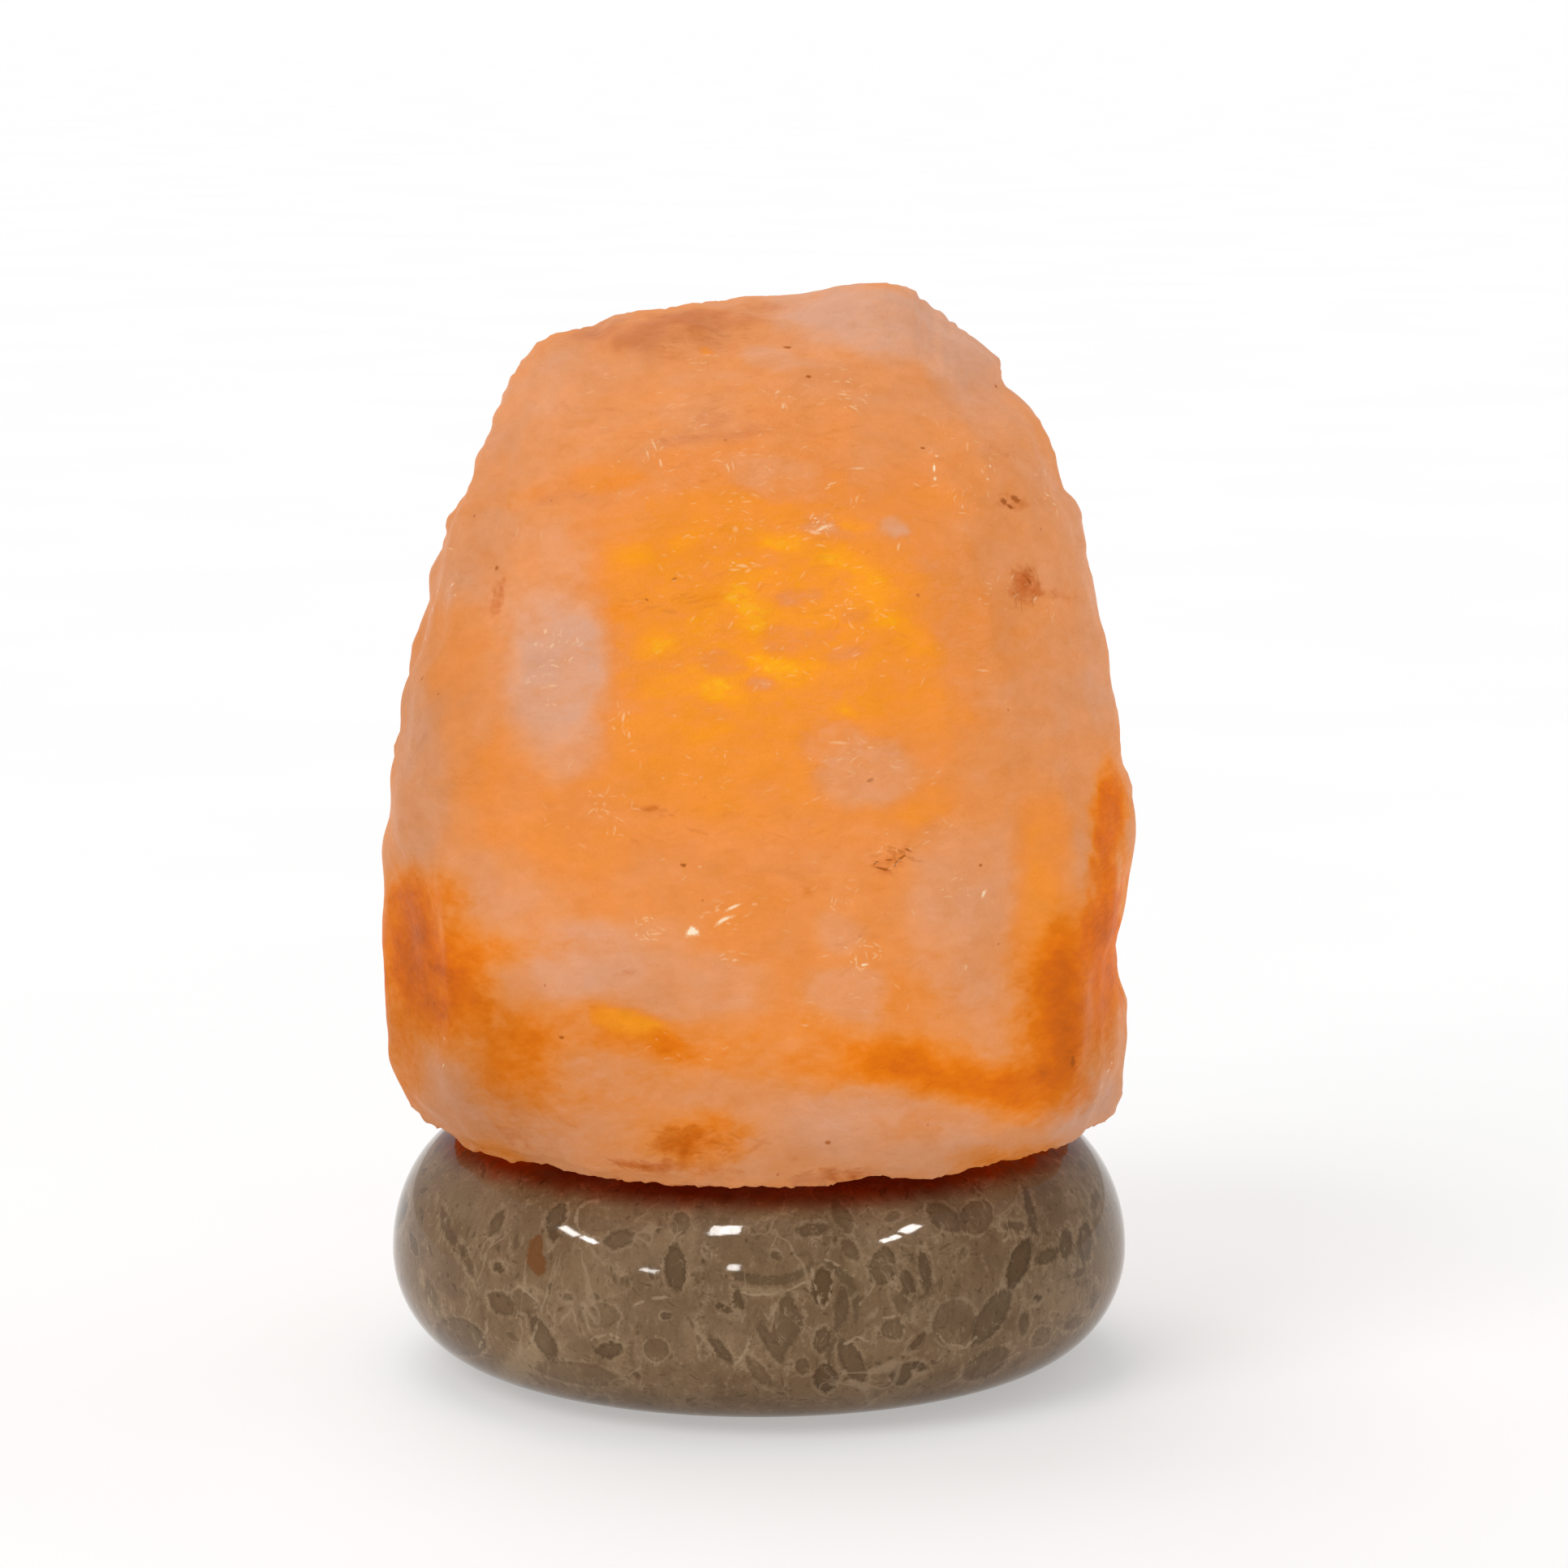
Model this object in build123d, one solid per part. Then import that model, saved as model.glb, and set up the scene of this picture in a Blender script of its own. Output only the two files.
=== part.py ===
"""Salt crystal lamp on a polished fossil-marble base.

Frame: millimetres, +Z up, the lamp's front looks along -Y, its cord outlet is at the rear (+Y).
The origin is the centre of the underside, on the surface that the lamp stands on.

Stack, bottom to top: four rubber feet, bullnosed stone disc with a central passage and a cord
groove under it, a bead of silicone, the hewn salt block with a blind bore. The lamp unit (E14
holder on a sprung steel strap) is pushed up into the bore from below and is held there by the
strap's two arms. The bulb screws into the holder.
"""

from build123d import *
import math
import os

# ------------------------------------------------------------------ driving dimensions (mm)
BASE_R = 63.5            # stone disc, outer radius
BASE_T = 40.0            # stone disc, thickness
EDGE_DEPTH = 17.0        # radial depth of the bullnose
EDGE_MID = 0.45          # height of the widest ring, as a share of the thickness
FOOT_H = 1.5             # rubber foot height
FOOT_R = 5.5
FOOT_PCR = 35.5          # foot centres lie on this radius
PASSAGE_R = 22.0         # passage through the stone
BORE_R = 22.0            # bore in the salt
BORE_TOP = 153.0         # z of the bore's end
GROOVE_W = 9.0           # cord groove under the stone
GROOVE_H = 8.5
GLUE_T = 0.8             # silicone between stone and salt
LAMP_H = 185.6           # top of the salt

THREAD_PITCH = 2.822     # E14
CAP_CREST_R = 6.86       # E14 cap, outside thread crest
CAP_ROOT_R = 6.06
SHELL_ROOT_R = 6.985     # E14 holder shell, inside thread root
SHELL_CREST_R = 6.20
THREAD_TURNS = 3.4
THREAD_Z0 = 91.2         # where the holder's thread starts

STONE_Z0 = FOOT_H
STONE_Z1 = FOOT_H + BASE_T
SALT_Z0 = STONE_Z1 + GLUE_T

# lamp unit stations along z
GRIP_Z0, GRIP_Z1 = 43.5, 55.5
NUT_T = 3.0
STRAP_T = 0.6
STRAP_W = 10.0
CAP_Z0 = GRIP_Z1 + NUT_T + STRAP_T     # holder cap underside, 59.1
CAP_Z1 = 79.5
SLEEVE_Z1 = 107.0
TIP_Z = 84.2             # bulb's tip
GLASS_TOP = 139.0


def place(shape, label):
    shape.label = label
    return shape


def tube(r_out, r_in, z0, z1):
    outer = Pos(0, 0, z0) * Cylinder(r_out, z1 - z0, align=(Align.CENTER, Align.CENTER, Align.MIN))
    if r_in <= 0:
        return outer
    inner = Pos(0, 0, z0 - 1) * Cylinder(r_in, z1 - z0 + 2, align=(Align.CENTER, Align.CENTER, Align.MIN))
    return outer - inner


def disc(r, z0, z1, x=0.0, y=0.0):
    return Pos(x, y, z0) * Cylinder(r, z1 - z0, align=(Align.CENTER, Align.CENTER, Align.MIN))


def block(x0, x1, y0, y1, z0, z1):
    return Pos(x0, y0, z0) * Box(x1 - x0, y1 - y0, z1 - z0, align=(Align.MIN, Align.MIN, Align.MIN))


def turned(points):
    """A solid of revolution about Z from (r, z) points joined by straight lines."""
    line = Polyline(*[(r, 0, z) for r, z in points], close=True)
    return revolve(make_face(line), axis=Axis.Z, revolution_arc=360)


# ------------------------------------------------------------------ stone base
def stone_base():
    flat = BASE_R - EDGE_DEPTH
    mid = STONE_Z0 + EDGE_MID * BASE_T
    low = EllipticalCenterArc((flat, mid), EDGE_DEPTH, mid - STONE_Z0, start_angle=270, arc_size=90)
    high = EllipticalCenterArc((flat, mid), EDGE_DEPTH, STONE_Z1 - mid, start_angle=0, arc_size=90)
    rest = Polyline(high @ 1, (PASSAGE_R + 1.0, STONE_Z1), (PASSAGE_R, STONE_Z1 - 1.0),
                    (PASSAGE_R, STONE_Z0 + 1.0), (PASSAGE_R + 1.0, STONE_Z0), low @ 0)
    face = make_face(Plane.XZ * (Curve() + [low, high, rest]))
    body = revolve(face, axis=Axis.Z, revolution_arc=360)
    # cord groove along the underside, from the passage to the rear, with a round roof
    w = GROOVE_W / 2
    groove = block(-w, w, PASSAGE_R - 6, BASE_R + 5, STONE_Z0 - 2, STONE_Z0 + GROOVE_H - w)
    roof = Pos(0, PASSAGE_R - 6, STONE_Z0 + GROOVE_H - w) * Rot(-90, 0, 0) * Cylinder(
        w, BASE_R + 5 - PASSAGE_R + 6, align=(Align.CENTER, Align.CENTER, Align.MIN))
    return body - groove - roof


def rubber_feet():
    feet = []
    for k in range(4):
        a = math.radians(45 + 90 * k)
        foot = Pos(FOOT_PCR * math.cos(a), FOOT_PCR * math.sin(a), 0) * Cylinder(
            FOOT_R, FOOT_H, align=(Align.CENTER, Align.CENTER, Align.MIN))
        foot = chamfer(foot.edges().group_by(Axis.Z)[0], 0.35)
        feet.append(foot)
    return Compound(children=feet)


# ------------------------------------------------------------------ salt block
# Outline of the hewn block: height, left and right reach, front and rear reach
OUTLINE = [
    (42.3, -55.6, 57.6, -58.7, 52.0),
    (45.4, -59.8, 60.9, -60.2, 54.6),
    (50.0, -61.8, 62.4, -60.9, 56.0),
    (56.3, -63.5, 63.2, -61.2, 56.8),
    (63.4, -63.4, 63.1, -61.4, 57.2),
    (70.6, -63.5, 61.6, -61.2, 57.4),
    (77.7, -63.5, 61.2, -61.0, 57.4),
    (84.7, -63.4, 62.2, -60.6, 57.2),
    (91.8, -63.5, 63.1, -60.0, 56.8),
    (98.9, -62.6, 63.5, -59.2, 56.0),
    (105.9, -62.9, 61.7, -58.2, 55.2),
    (112.9, -61.1, 60.6, -57.0, 54.2),
    (119.9, -60.0, 59.5, -55.6, 53.0),
    (126.9, -58.2, 58.2, -54.0, 51.8),
    (133.9, -56.4, 57.0, -52.2, 50.4),
    (140.8, -55.0, 55.8, -50.0, 48.8),
    (147.7, -51.6, 53.6, -47.6, 46.6),
    (154.6, -48.0, 51.0, -44.8, 44.0),
    (161.5, -45.4, 47.6, -41.0, 40.6),
    (168.4, -42.9, 42.1, -36.6, 36.8),
    (172.6, -40.9, 41.0, -33.2, 34.0),
    (175.6, -37.4, 38.0, -29.6, 31.4),
    (178.7, -27.6, 33.8, -24.4, 28.4),
    (182.1, -12.2, 29.1, -15.5, 22.0),
    (184.2, -0.6, 26.4, -9.0, 16.5),
    (185.6, 13.0, 22.6, -2.5, 10.0),
]
N_AROUND = 36

# Flats left by the hewing: azimuth and elevation of the flat's normal, and how deep it cuts
FLATS = [
    (-62, 4, 3.4), (-118, 2, 3.0), (-90, 18, 3.2), (-78, 34, 3.0), (-108, 40, 3.6),
    (-44, 20, 3.6), (-138, 24, 3.8), (-30, 6, 1.6), (-150, -3, 1.8), (-92, -6, 1.2),
    (-66, -20, 0.7), (-122, -22, 0.8), (60, 6, 4.2), (118, 10, 4.4), (90, 26, 5.0),
    (42, 28, 3.6), (140, 32, 4.0), (84, -14, 3.0), (130, -22, 3.0), (52, -26, 2.8),
    (-90, 62, 2.2), (84, 58, 3.0), (-20, 52, 1.4), (-164, 48, 1.4),
]


def rough(i, j, seed):
    """A repeatable number from -1 to 1 for a grid point."""
    v = math.sin(i * 127.1 + j * 311.7 + seed * 74.7) * 43758.5453
    return 2 * (v - math.floor(v)) - 1


def block_points():
    """Rings of points up the block, the same number in each."""
    rings = []
    for i, (z, xl, xr, yf, yb) in enumerate(OUTLINE):
        cx, a = (xl + xr) / 2, (xr - xl) / 2
        cy, b = (yf + yb) / 2, (yb - yf) / 2
        up = (z - OUTLINE[0][0]) / (OUTLINE[-1][0] - OUTLINE[0][0])
        n = 2.0 + 1.35 * math.sin(math.pi * min(1.0, up * 1.15)) ** 0.7
        ring = []
        for j in range(N_AROUND):
            phi = 2 * math.pi * j / N_AROUND
            c, s = math.cos(phi), math.sin(phi)
            r = 1 / ((abs(c) / a) ** n + (abs(s) / b) ** n) ** (1 / n)
            ring.append((cx, cy, phi, r, z))
        rings.append(ring)
    every = [(cx + r * math.cos(p), cy + r * math.sin(p), z) for ring in rings for cx, cy, p, r, z in ring]
    planes = []
    for az, el, depth in FLATS:
        nx = math.cos(math.radians(az)) * math.cos(math.radians(el))
        ny = math.sin(math.radians(az)) * math.cos(math.radians(el))
        nz = math.sin(math.radians(el))
        reach = max(nx * x + ny * y + nz * z for x, y, z in every) - depth
        planes.append((nx, ny, nz, reach))
    points = []
    last = len(rings) - 1
    for i, ring in enumerate(rings):
        row = []
        for j, (cx, cy, phi, r, z) in enumerate(ring):
            c, s = math.cos(phi), math.sin(phi)
            for nx, ny, nz, reach in planes:
                lean = nx * c + ny * s
                if lean > 0.05:
                    r = min(r, max(0.82 * r, (reach - nx * cx - ny * cy - nz * z) / lean))
            size = 1.0 if 0 < i < last else 0.35
            side = 0.35 + 0.65 * abs(s)          # the side outline keeps its measured reach
            r += 0.75 * size * side * (0.6 * rough(i, j, 1) + 0.4 * rough(i // 2, j // 2, 2))
            x = max(-BASE_R, min(BASE_R, cx + r * c))
            y = max(-BASE_R, min(BASE_R, cy + r * s))
            lift = 0.0 if i in (0, last) else 0.35 * rough(i, j, 3) * min(1.0, (OUTLINE[i + 1][0] - z) / 4)
            row.append((x, y, z + lift))
        points.append(row)
    return points


def facet(a, b, c):
    return Face(Wire.make_polygon([Vector(*a), Vector(*b), Vector(*c)], close=True))


def salt_crystal():
    rows = block_points()
    faces = []
    n = N_AROUND
    for i in range(len(rows) - 1):
        lo, hi = rows[i], rows[i + 1]
        for j in range(n):
            k = (j + 1) % n
            if (i + j) % 2:
                faces += [facet(lo[j], lo[k], hi[k]), facet(lo[j], hi[k], hi[j])]
            else:
                faces += [facet(lo[j], lo[k], hi[j]), facet(lo[k], hi[k], hi[j])]
    faces.append(Face(Wire.make_polygon([Vector(*p) for p in rows[0]], close=True)))
    faces.append(Face(Wire.make_polygon([Vector(*p) for p in rows[-1]], close=True)))
    rock = Solid(Shell(faces))
    bore = disc(BORE_R, SALT_Z0 - 5, BORE_TOP - 2.0)
    roof = turned([(0, BORE_TOP - 2.0), (BORE_R, BORE_TOP - 2.0), (BORE_R - 2.0, BORE_TOP), (0, BORE_TOP)])
    return rock - (bore + roof)


def silicone_bead():
    return tube(45.0, 31.0, STONE_Z1, SALT_Z0)


# ------------------------------------------------------------------ lamp unit
def cord_grip():
    body = turned([(3.4, GRIP_Z0), (5.8, GRIP_Z0), (6.8, GRIP_Z0 + 3), (6.8, GRIP_Z1), (5.0, GRIP_Z1),
                   (5.0, GRIP_Z0 + 5), (3.4, GRIP_Z0 + 5)])
    hole = Pos(3.0, 0, GRIP_Z0 + 2.9) * Rot(0, 90, 0) * Cylinder(1.5, 6, align=(Align.CENTER, Align.CENTER, Align.MIN))
    return body - hole


def cord_grip_screw():
    z = GRIP_Z0 + 2.9
    shank = Pos(3.9, 0, z) * Rot(0, 90, 0) * Cylinder(1.45, 3.4, align=(Align.CENTER, Align.CENTER, Align.MIN))
    head = Pos(7.3, 0, z) * Rot(0, 90, 0) * Cylinder(2.4, 1.7, align=(Align.CENTER, Align.CENTER, Align.MIN))
    slot = block(8.4, 9.4, -3, 3, z - 0.35, z + 0.35)
    return shank + head - slot


def entry_nipple():
    return chamfer(tube(5.0, 3.4, GRIP_Z0 + 5, 66.0).edges().group_by(Axis.Z)[-1].sort_by(SortBy.LENGTH)[-1:], 0.5)


def lock_nuts():
    nuts = []
    for z0 in (GRIP_Z1, CAP_Z0 + 2.1):
        hexagon = extrude(Pos(0, 0, z0) * RegularPolygon(7.0, 6, major_radius=False), NUT_T)
        nuts.append(hexagon - disc(5.0, z0 - 1, z0 + NUT_T + 1))
    return Compound(children=nuts)


def spring_clip():
    z = CAP_Z0 - STRAP_T / 2
    half = [(0, z), (14.7, z), (14.7, 78.5), (20.85, 93.0), (20.85, 97.0), (17.2, 105.5), (18.4, 108.0)]
    left = [(-x, h) for x, h in reversed(half[1:])]
    line = FilletPolyline(*(left + half[1:]), radius=1.2)
    band = Plane.XZ * trace(line, line_width=STRAP_T)
    strap = extrude(band, STRAP_W / 2, both=True)
    strap = strap + disc(9.0, z - STRAP_T / 2, z + STRAP_T / 2)     # eye round the nipple
    strap = strap - disc(5.05, z - 2, z + 2)
    for s in (-1, 1):                                   # stiffening window in each arm
        window = block(min(s * 13, s * 16), max(s * 13, s * 16), -2.2, 2.2, 65.0, 74.0)
        strap = strap - window
    return strap


def holder_cap():
    cup = turned([(5.05, CAP_Z0), (11.0, CAP_Z0), (14.0, CAP_Z0 + 3.5), (14.0, CAP_Z1 - 0.6), (13.4, CAP_Z1),
                  (12.2, CAP_Z1), (12.2, CAP_Z0 + 3.6), (10.7, CAP_Z0 + 2.1), (5.05, CAP_Z0 + 2.1)])
    flutes = [Rot(0, 0, 10 + 20 * k) * Pos(14.35, 0, CAP_Z0 + 5) * Cylinder(
        0.75, CAP_Z1 - CAP_Z0 - 8, align=(Align.CENTER, Align.CENTER, Align.MIN)) for k in range(18)]
    return cup - flutes


def holder_sleeve():
    return turned([(10.9, 75.5), (12.1, 75.5), (12.1, CAP_Z1), (13.6, CAP_Z1), (13.6, CAP_Z1 + 4), (13.0, CAP_Z1 + 6),
                   (12.7, SLEEVE_Z1 - 1), (12.1, SLEEVE_Z1), (9.5, SLEEVE_Z1), (9.3, SLEEVE_Z1 - 0.4),
                   (9.3, SLEEVE_Z1 - 2), (10.9, SLEEVE_Z1 - 3.5)])


def terminal_block():
    body = turned([(0, 74.0), (10.8, 74.0), (10.8, 98.0), (7.45, 98.0), (7.45, 81.5), (0, 81.5)])
    slots = block(6.55, 7.44, -2.3, 2.3, 73, 82) + block(-6.95, -6.15, -2.6, 2.6, 73, 82)
    return body - slots


def thread_ridge(r_mean, inner, outer, z0, turns, half_root, half_crest, facing_out):
    """A helical ridge. It runs into the wall that carries it by a little, to fuse with it."""
    path = Helix(pitch=THREAD_PITCH, height=THREAD_PITCH * turns, radius=r_mean)
    start = path @ 0
    if facing_out:
        shape = [(inner, -half_root), (outer, -half_crest), (outer, half_crest), (inner, half_root)]
    else:
        shape = [(outer, -half_root), (inner, -half_crest), (inner, half_crest), (outer, half_root)]
    section = Face(Wire.make_polygon([Vector(r, 0, h) for r, h in shape], close=True))
    ridge = sweep(section, path=path, is_frenet=True)
    return Pos(0, 0, z0) * ridge


def thread_shell():
    wall = tube(7.4, SHELL_ROOT_R, 88.6, 101.9)
    ridge = thread_ridge(SHELL_ROOT_R, SHELL_CREST_R, SHELL_ROOT_R + 0.2, THREAD_Z0, THREAD_TURNS, 0.62, 0.36, False)
    tab = block(6.6, 7.1, -2.0, 2.0, 73.6, 88.9)
    return wall + ridge + tab


def centre_contact():
    line = FilletPolyline((-6.55, 73.6), (-6.55, 81.8), (4.2, 81.8), (-1.6, 83.55), radius=0.35)
    return extrude(Plane.XZ * trace(line, line_width=0.4), 2.4, both=True)


def terminal(side):
    x = side * 6.8
    body = block(x - 2.9, x + 2.9, -3.4, 3.4, 66.2, 73.6)
    wire = disc(1.3, 65, 71.5, x - side * 0.9, 0.6)
    screw = Pos(x, -3.5, 69.4) * Rot(-90, 0, 0) * Cylinder(1.3, 4.2, align=(Align.CENTER, Align.CENTER, Align.MIN))
    return body - wire - screw


def terminal_screws():
    made = []
    for side in (-1, 1):
        x = side * 6.8
        shank = Pos(x, -3.4, 69.4) * Rot(-90, 0, 0) * Cylinder(1.25, 2.6, align=(Align.CENTER, Align.CENTER, Align.MIN))
        head = Pos(x, -5.2, 69.4) * Rot(-90, 0, 0) * Cylinder(2.2, 1.8, align=(Align.CENTER, Align.CENTER, Align.MIN))
        slot = block(x - 2.6, x + 2.6, -5.8, -4.6, 69.1, 69.7)
        made.append(shank + head - slot)
    return Compound(children=made)


# ------------------------------------------------------------------ bulb
def bulb_contact():
    z = TIP_Z
    return turned([(0, z), (1.4, z + 0.15), (2.3, z + 0.7), (2.4, z + 1.2), (0, z + 1.2)])


def bulb_insulator():
    z = TIP_Z + 1.2
    return turned([(0, z), (2.9, z), (3.4, z + 0.3), (5.35, z + 2.9), (5.35, z + 4.0), (0, z + 4.0)])


def bulb_cap():
    z = TIP_Z + 3.7
    wall = turned([(5.42, z), (5.75, z), (CAP_ROOT_R, z + 0.9), (CAP_ROOT_R, 101.4), (8.45, 104.4), (8.45, 106.6),
                   (8.15, 106.6), (8.15, 104.5), (5.78, 101.6), (5.78, z + 1.1)])
    ridge = thread_ridge(CAP_ROOT_R, CAP_ROOT_R - 0.12, CAP_CREST_R, THREAD_Z0 - THREAD_PITCH / 2, THREAD_TURNS, 0.62, 0.36, True)
    return wall + ridge


def bulb_glass():
    # the neck swells into a round dome whose centre is 13 mm below its top
    outer = [(7.9, 104.7), (8.05, 107.2), (9.2, 110.6), (11.1, 114.6), (12.45, 119.4), (13.0, GLASS_TOP - 13.0)]
    inner = [(7.1, 104.7), (7.25, 107.3), (8.4, 110.9), (10.3, 114.9), (11.65, 119.6), (12.2, GLASS_TOP - 13.0)]
    a = Spline(*outer, tangents=[(0, 1), (0, 1)])
    b = Spline(*inner, tangents=[(0, 1), (0, 1)])
    dome = CenterArc((0, GLASS_TOP - 13.0), 13.0, 0, 90)
    dish = CenterArc((0, GLASS_TOP - 13.0), 12.2, 0, 90)
    face = make_face(Plane.XZ * (Curve() + [a, dome, Line(dome @ 1, dish @ 1), dish, b, Line(b @ 0, a @ 0)]))
    return revolve(face, axis=Axis.Z, revolution_arc=360)


def bulb_stem():
    return turned([(0, 104.7), (7.0, 104.7), (6.9, 105.5), (4.2, 107.5), (2.5, 111.0), (2.2, 117.5), (1.6, 118.6), (0, 118.8)])


def wire(points, radius, bend=1.0):
    path = FilletPolyline(*points, radius=bend) if len(points) > 2 else Line(*points)
    start = Plane(origin=path @ 0, z_dir=path % 0)
    return sweep(start * Circle(radius), path=path)


def lead_wires():
    return Compound(children=[wire([(s * 1.1, 0, 117.6), (s * 1.5, 0, 121.0), (s * 6.2, 0, 126.4)], 0.28) for s in (-1, 1)])


def filament():
    arc = ThreePointArc((-6.2, 0, 126.4), (0, 0, 130.2), (6.2, 0, 126.4))
    start = Plane(origin=arc @ 0, z_dir=arc % 0)
    return sweep(start * Circle(0.42), path=arc)


def filament_supports():
    return Compound(children=[wire([(0, s * 0.5, 118.2), (0, s * 1.0, 123.0), (s * 2.4, s * 0.25, 129.65)], 0.14) for s in (-1, 1)])


def main():
    os.makedirs("parts", exist_ok=True)
    nodes = {
        "marble_base": stone_base(),
        "rubber_feet": rubber_feet(),
        "silicone_bead": silicone_bead(),
        "salt_crystal": salt_crystal(),
        "cord_grip": cord_grip(),
        "cord_grip_screw": cord_grip_screw(),
        "entry_nipple": entry_nipple(),
        "lock_nuts": lock_nuts(),
        "spring_clip": spring_clip(),
        "holder_cap": holder_cap(),
        "holder_sleeve": holder_sleeve(),
        "terminal_block": terminal_block(),
        "thread_shell": thread_shell(),
        "centre_contact": centre_contact(),
        "terminal_live": terminal(-1),
        "terminal_neutral": terminal(1),
        "terminal_screws": terminal_screws(),
        "bulb_tip_contact": bulb_contact(),
        "bulb_insulator": bulb_insulator(),
        "bulb_cap": bulb_cap(),
        "bulb_glass": bulb_glass(),
        "bulb_stem": bulb_stem(),
        "lead_wires": lead_wires(),
        "filament": filament(),
        "filament_supports": filament_supports(),
    }
    for name, shape in nodes.items():
        export_step(place(shape, name), os.path.join("parts", name + ".step"))


main()
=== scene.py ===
import math

import bmesh
import bpy
import numpy as np
from mathutils import Matrix, Vector
from mathutils.bvhtree import BVHTree


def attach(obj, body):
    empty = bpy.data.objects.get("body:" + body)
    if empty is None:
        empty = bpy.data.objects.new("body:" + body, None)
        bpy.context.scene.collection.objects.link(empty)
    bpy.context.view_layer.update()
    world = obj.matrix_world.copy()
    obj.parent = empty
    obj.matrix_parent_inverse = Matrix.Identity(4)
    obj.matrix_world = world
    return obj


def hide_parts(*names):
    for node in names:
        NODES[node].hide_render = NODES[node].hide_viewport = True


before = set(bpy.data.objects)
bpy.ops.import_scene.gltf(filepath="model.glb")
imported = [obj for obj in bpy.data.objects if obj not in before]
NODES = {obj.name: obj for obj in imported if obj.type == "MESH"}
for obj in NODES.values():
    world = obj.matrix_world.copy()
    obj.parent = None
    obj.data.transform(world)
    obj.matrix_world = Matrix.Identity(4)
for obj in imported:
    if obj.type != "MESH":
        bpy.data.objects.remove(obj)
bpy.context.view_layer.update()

scene = bpy.context.scene
scene.view_settings.view_transform = "Standard"
scene.view_settings.look = "None"

# ------------------------------------------------------------------ camera
FRAME_PX = 1932.0
LENS, SENSOR = 118.96, 36.0
CAM = Vector((0.0, -0.8784, 0.2335))
AIM = Vector((0.00432, 0.0, 0.09981))
cam_data = bpy.data.cameras.new("camera")
cam_data.lens, cam_data.sensor_width = LENS, SENSOR
cam_data.clip_start, cam_data.clip_end = 0.01, 50
camera = bpy.data.objects.new("camera", cam_data)
scene.collection.objects.link(camera)
camera.location = CAM
camera.rotation_euler = (AIM - CAM).to_track_quat("-Z", "Y").to_euler()
scene.camera = camera

LOOK = np.array((AIM - CAM).normalized())
RIGHT = np.cross(LOOK, (0, 0, 1)); RIGHT /= np.linalg.norm(RIGHT)
UP = np.cross(RIGHT, LOOK)
FOCAL = LENS / SENSOR * FRAME_PX


def to_px(points):
    """Where points (metres) lie in the photograph's 1932 x 1932 frame, used to place features on the surface."""
    d = np.asarray(points, float) - np.array(CAM)
    w = d @ LOOK
    return FRAME_PX / 2 + FOCAL * (d @ RIGHT) / w, FRAME_PX / 2 - FOCAL * (d @ UP) / w


def ray(px, py):
    v = LOOK + RIGHT * (px - FRAME_PX / 2) / FOCAL + UP * (FRAME_PX / 2 - py) / FOCAL
    return Vector(v / np.linalg.norm(v))


# ------------------------------------------------------------------ numbers
def lin(r, g, b):
    """A display colour, 0 to 255, as the linear values that shaders use."""
    out = []
    for v in (r, g, b):
        v /= 255.0
        out.append(v / 12.92 if v <= 0.04045 else ((v + 0.055) / 1.055) ** 2.4)
    return np.array(out)


def smooth(a, b, x):
    t = np.clip((x - a) / (b - a), 0, 1)
    return t * t * (3 - 2 * t)


def lattice(ix, iy, iz, seed):
    n = (ix * 374761393 + iy * 668265263 + iz * 1440662683 + seed * 1274126177) & 0xFFFFFFFF
    n = ((n ^ (n >> 13)) * 1274126177) & 0xFFFFFFFF
    n = n ^ (n >> 16)
    return (n & 0xFFFF) / 32767.5 - 1


def noise(p, seed=0):
    """Smooth value noise from -1 to 1 at the points p."""
    i = np.floor(p).astype(np.int64)
    f = p - i
    u = f * f * f * (f * (f * 6 - 15) + 10)
    total = 0
    for dx in (0, 1):
        for dy in (0, 1):
            for dz in (0, 1):
                w = ((u[:, 0] if dx else 1 - u[:, 0]) * (u[:, 1] if dy else 1 - u[:, 1])
                     * (u[:, 2] if dz else 1 - u[:, 2]))
                total = total + w * lattice(i[:, 0] + dx, i[:, 1] + dy, i[:, 2] + dz, seed)
    return total


def fbm(p, seed=0, octaves=4, gain=0.5):
    total, amp, norm = 0, 1.0, 0
    for k in range(octaves):
        total = total + amp * noise(p * (2.03 ** k) + 17.3 * k, seed + 31 * k)
        norm += amp
        amp *= gain
    return total / norm


# ------------------------------------------------------------------ meshes
def object_from(mesh, name):
    obj = bpy.data.objects.new(name, mesh)
    scene.collection.objects.link(obj)
    return obj


def baked(obj):
    """The object's mesh with its modifiers applied."""
    bpy.context.view_layer.update()
    deps = bpy.context.evaluated_depsgraph_get()
    mesh = bpy.data.meshes.new_from_object(obj.evaluated_get(deps))
    old = obj.data
    obj.modifiers.clear()
    obj.data = mesh
    if old.users == 0:
        bpy.data.meshes.remove(old)
    return obj


def coords(mesh):
    co = np.zeros(len(mesh.vertices) * 3)
    mesh.vertices.foreach_get("co", co)
    return co.reshape(-1, 3)


def normals(mesh):
    n = np.zeros(len(mesh.vertices) * 3)
    mesh.vertex_normals.foreach_get("vector", n)
    return n.reshape(-1, 3)


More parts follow.
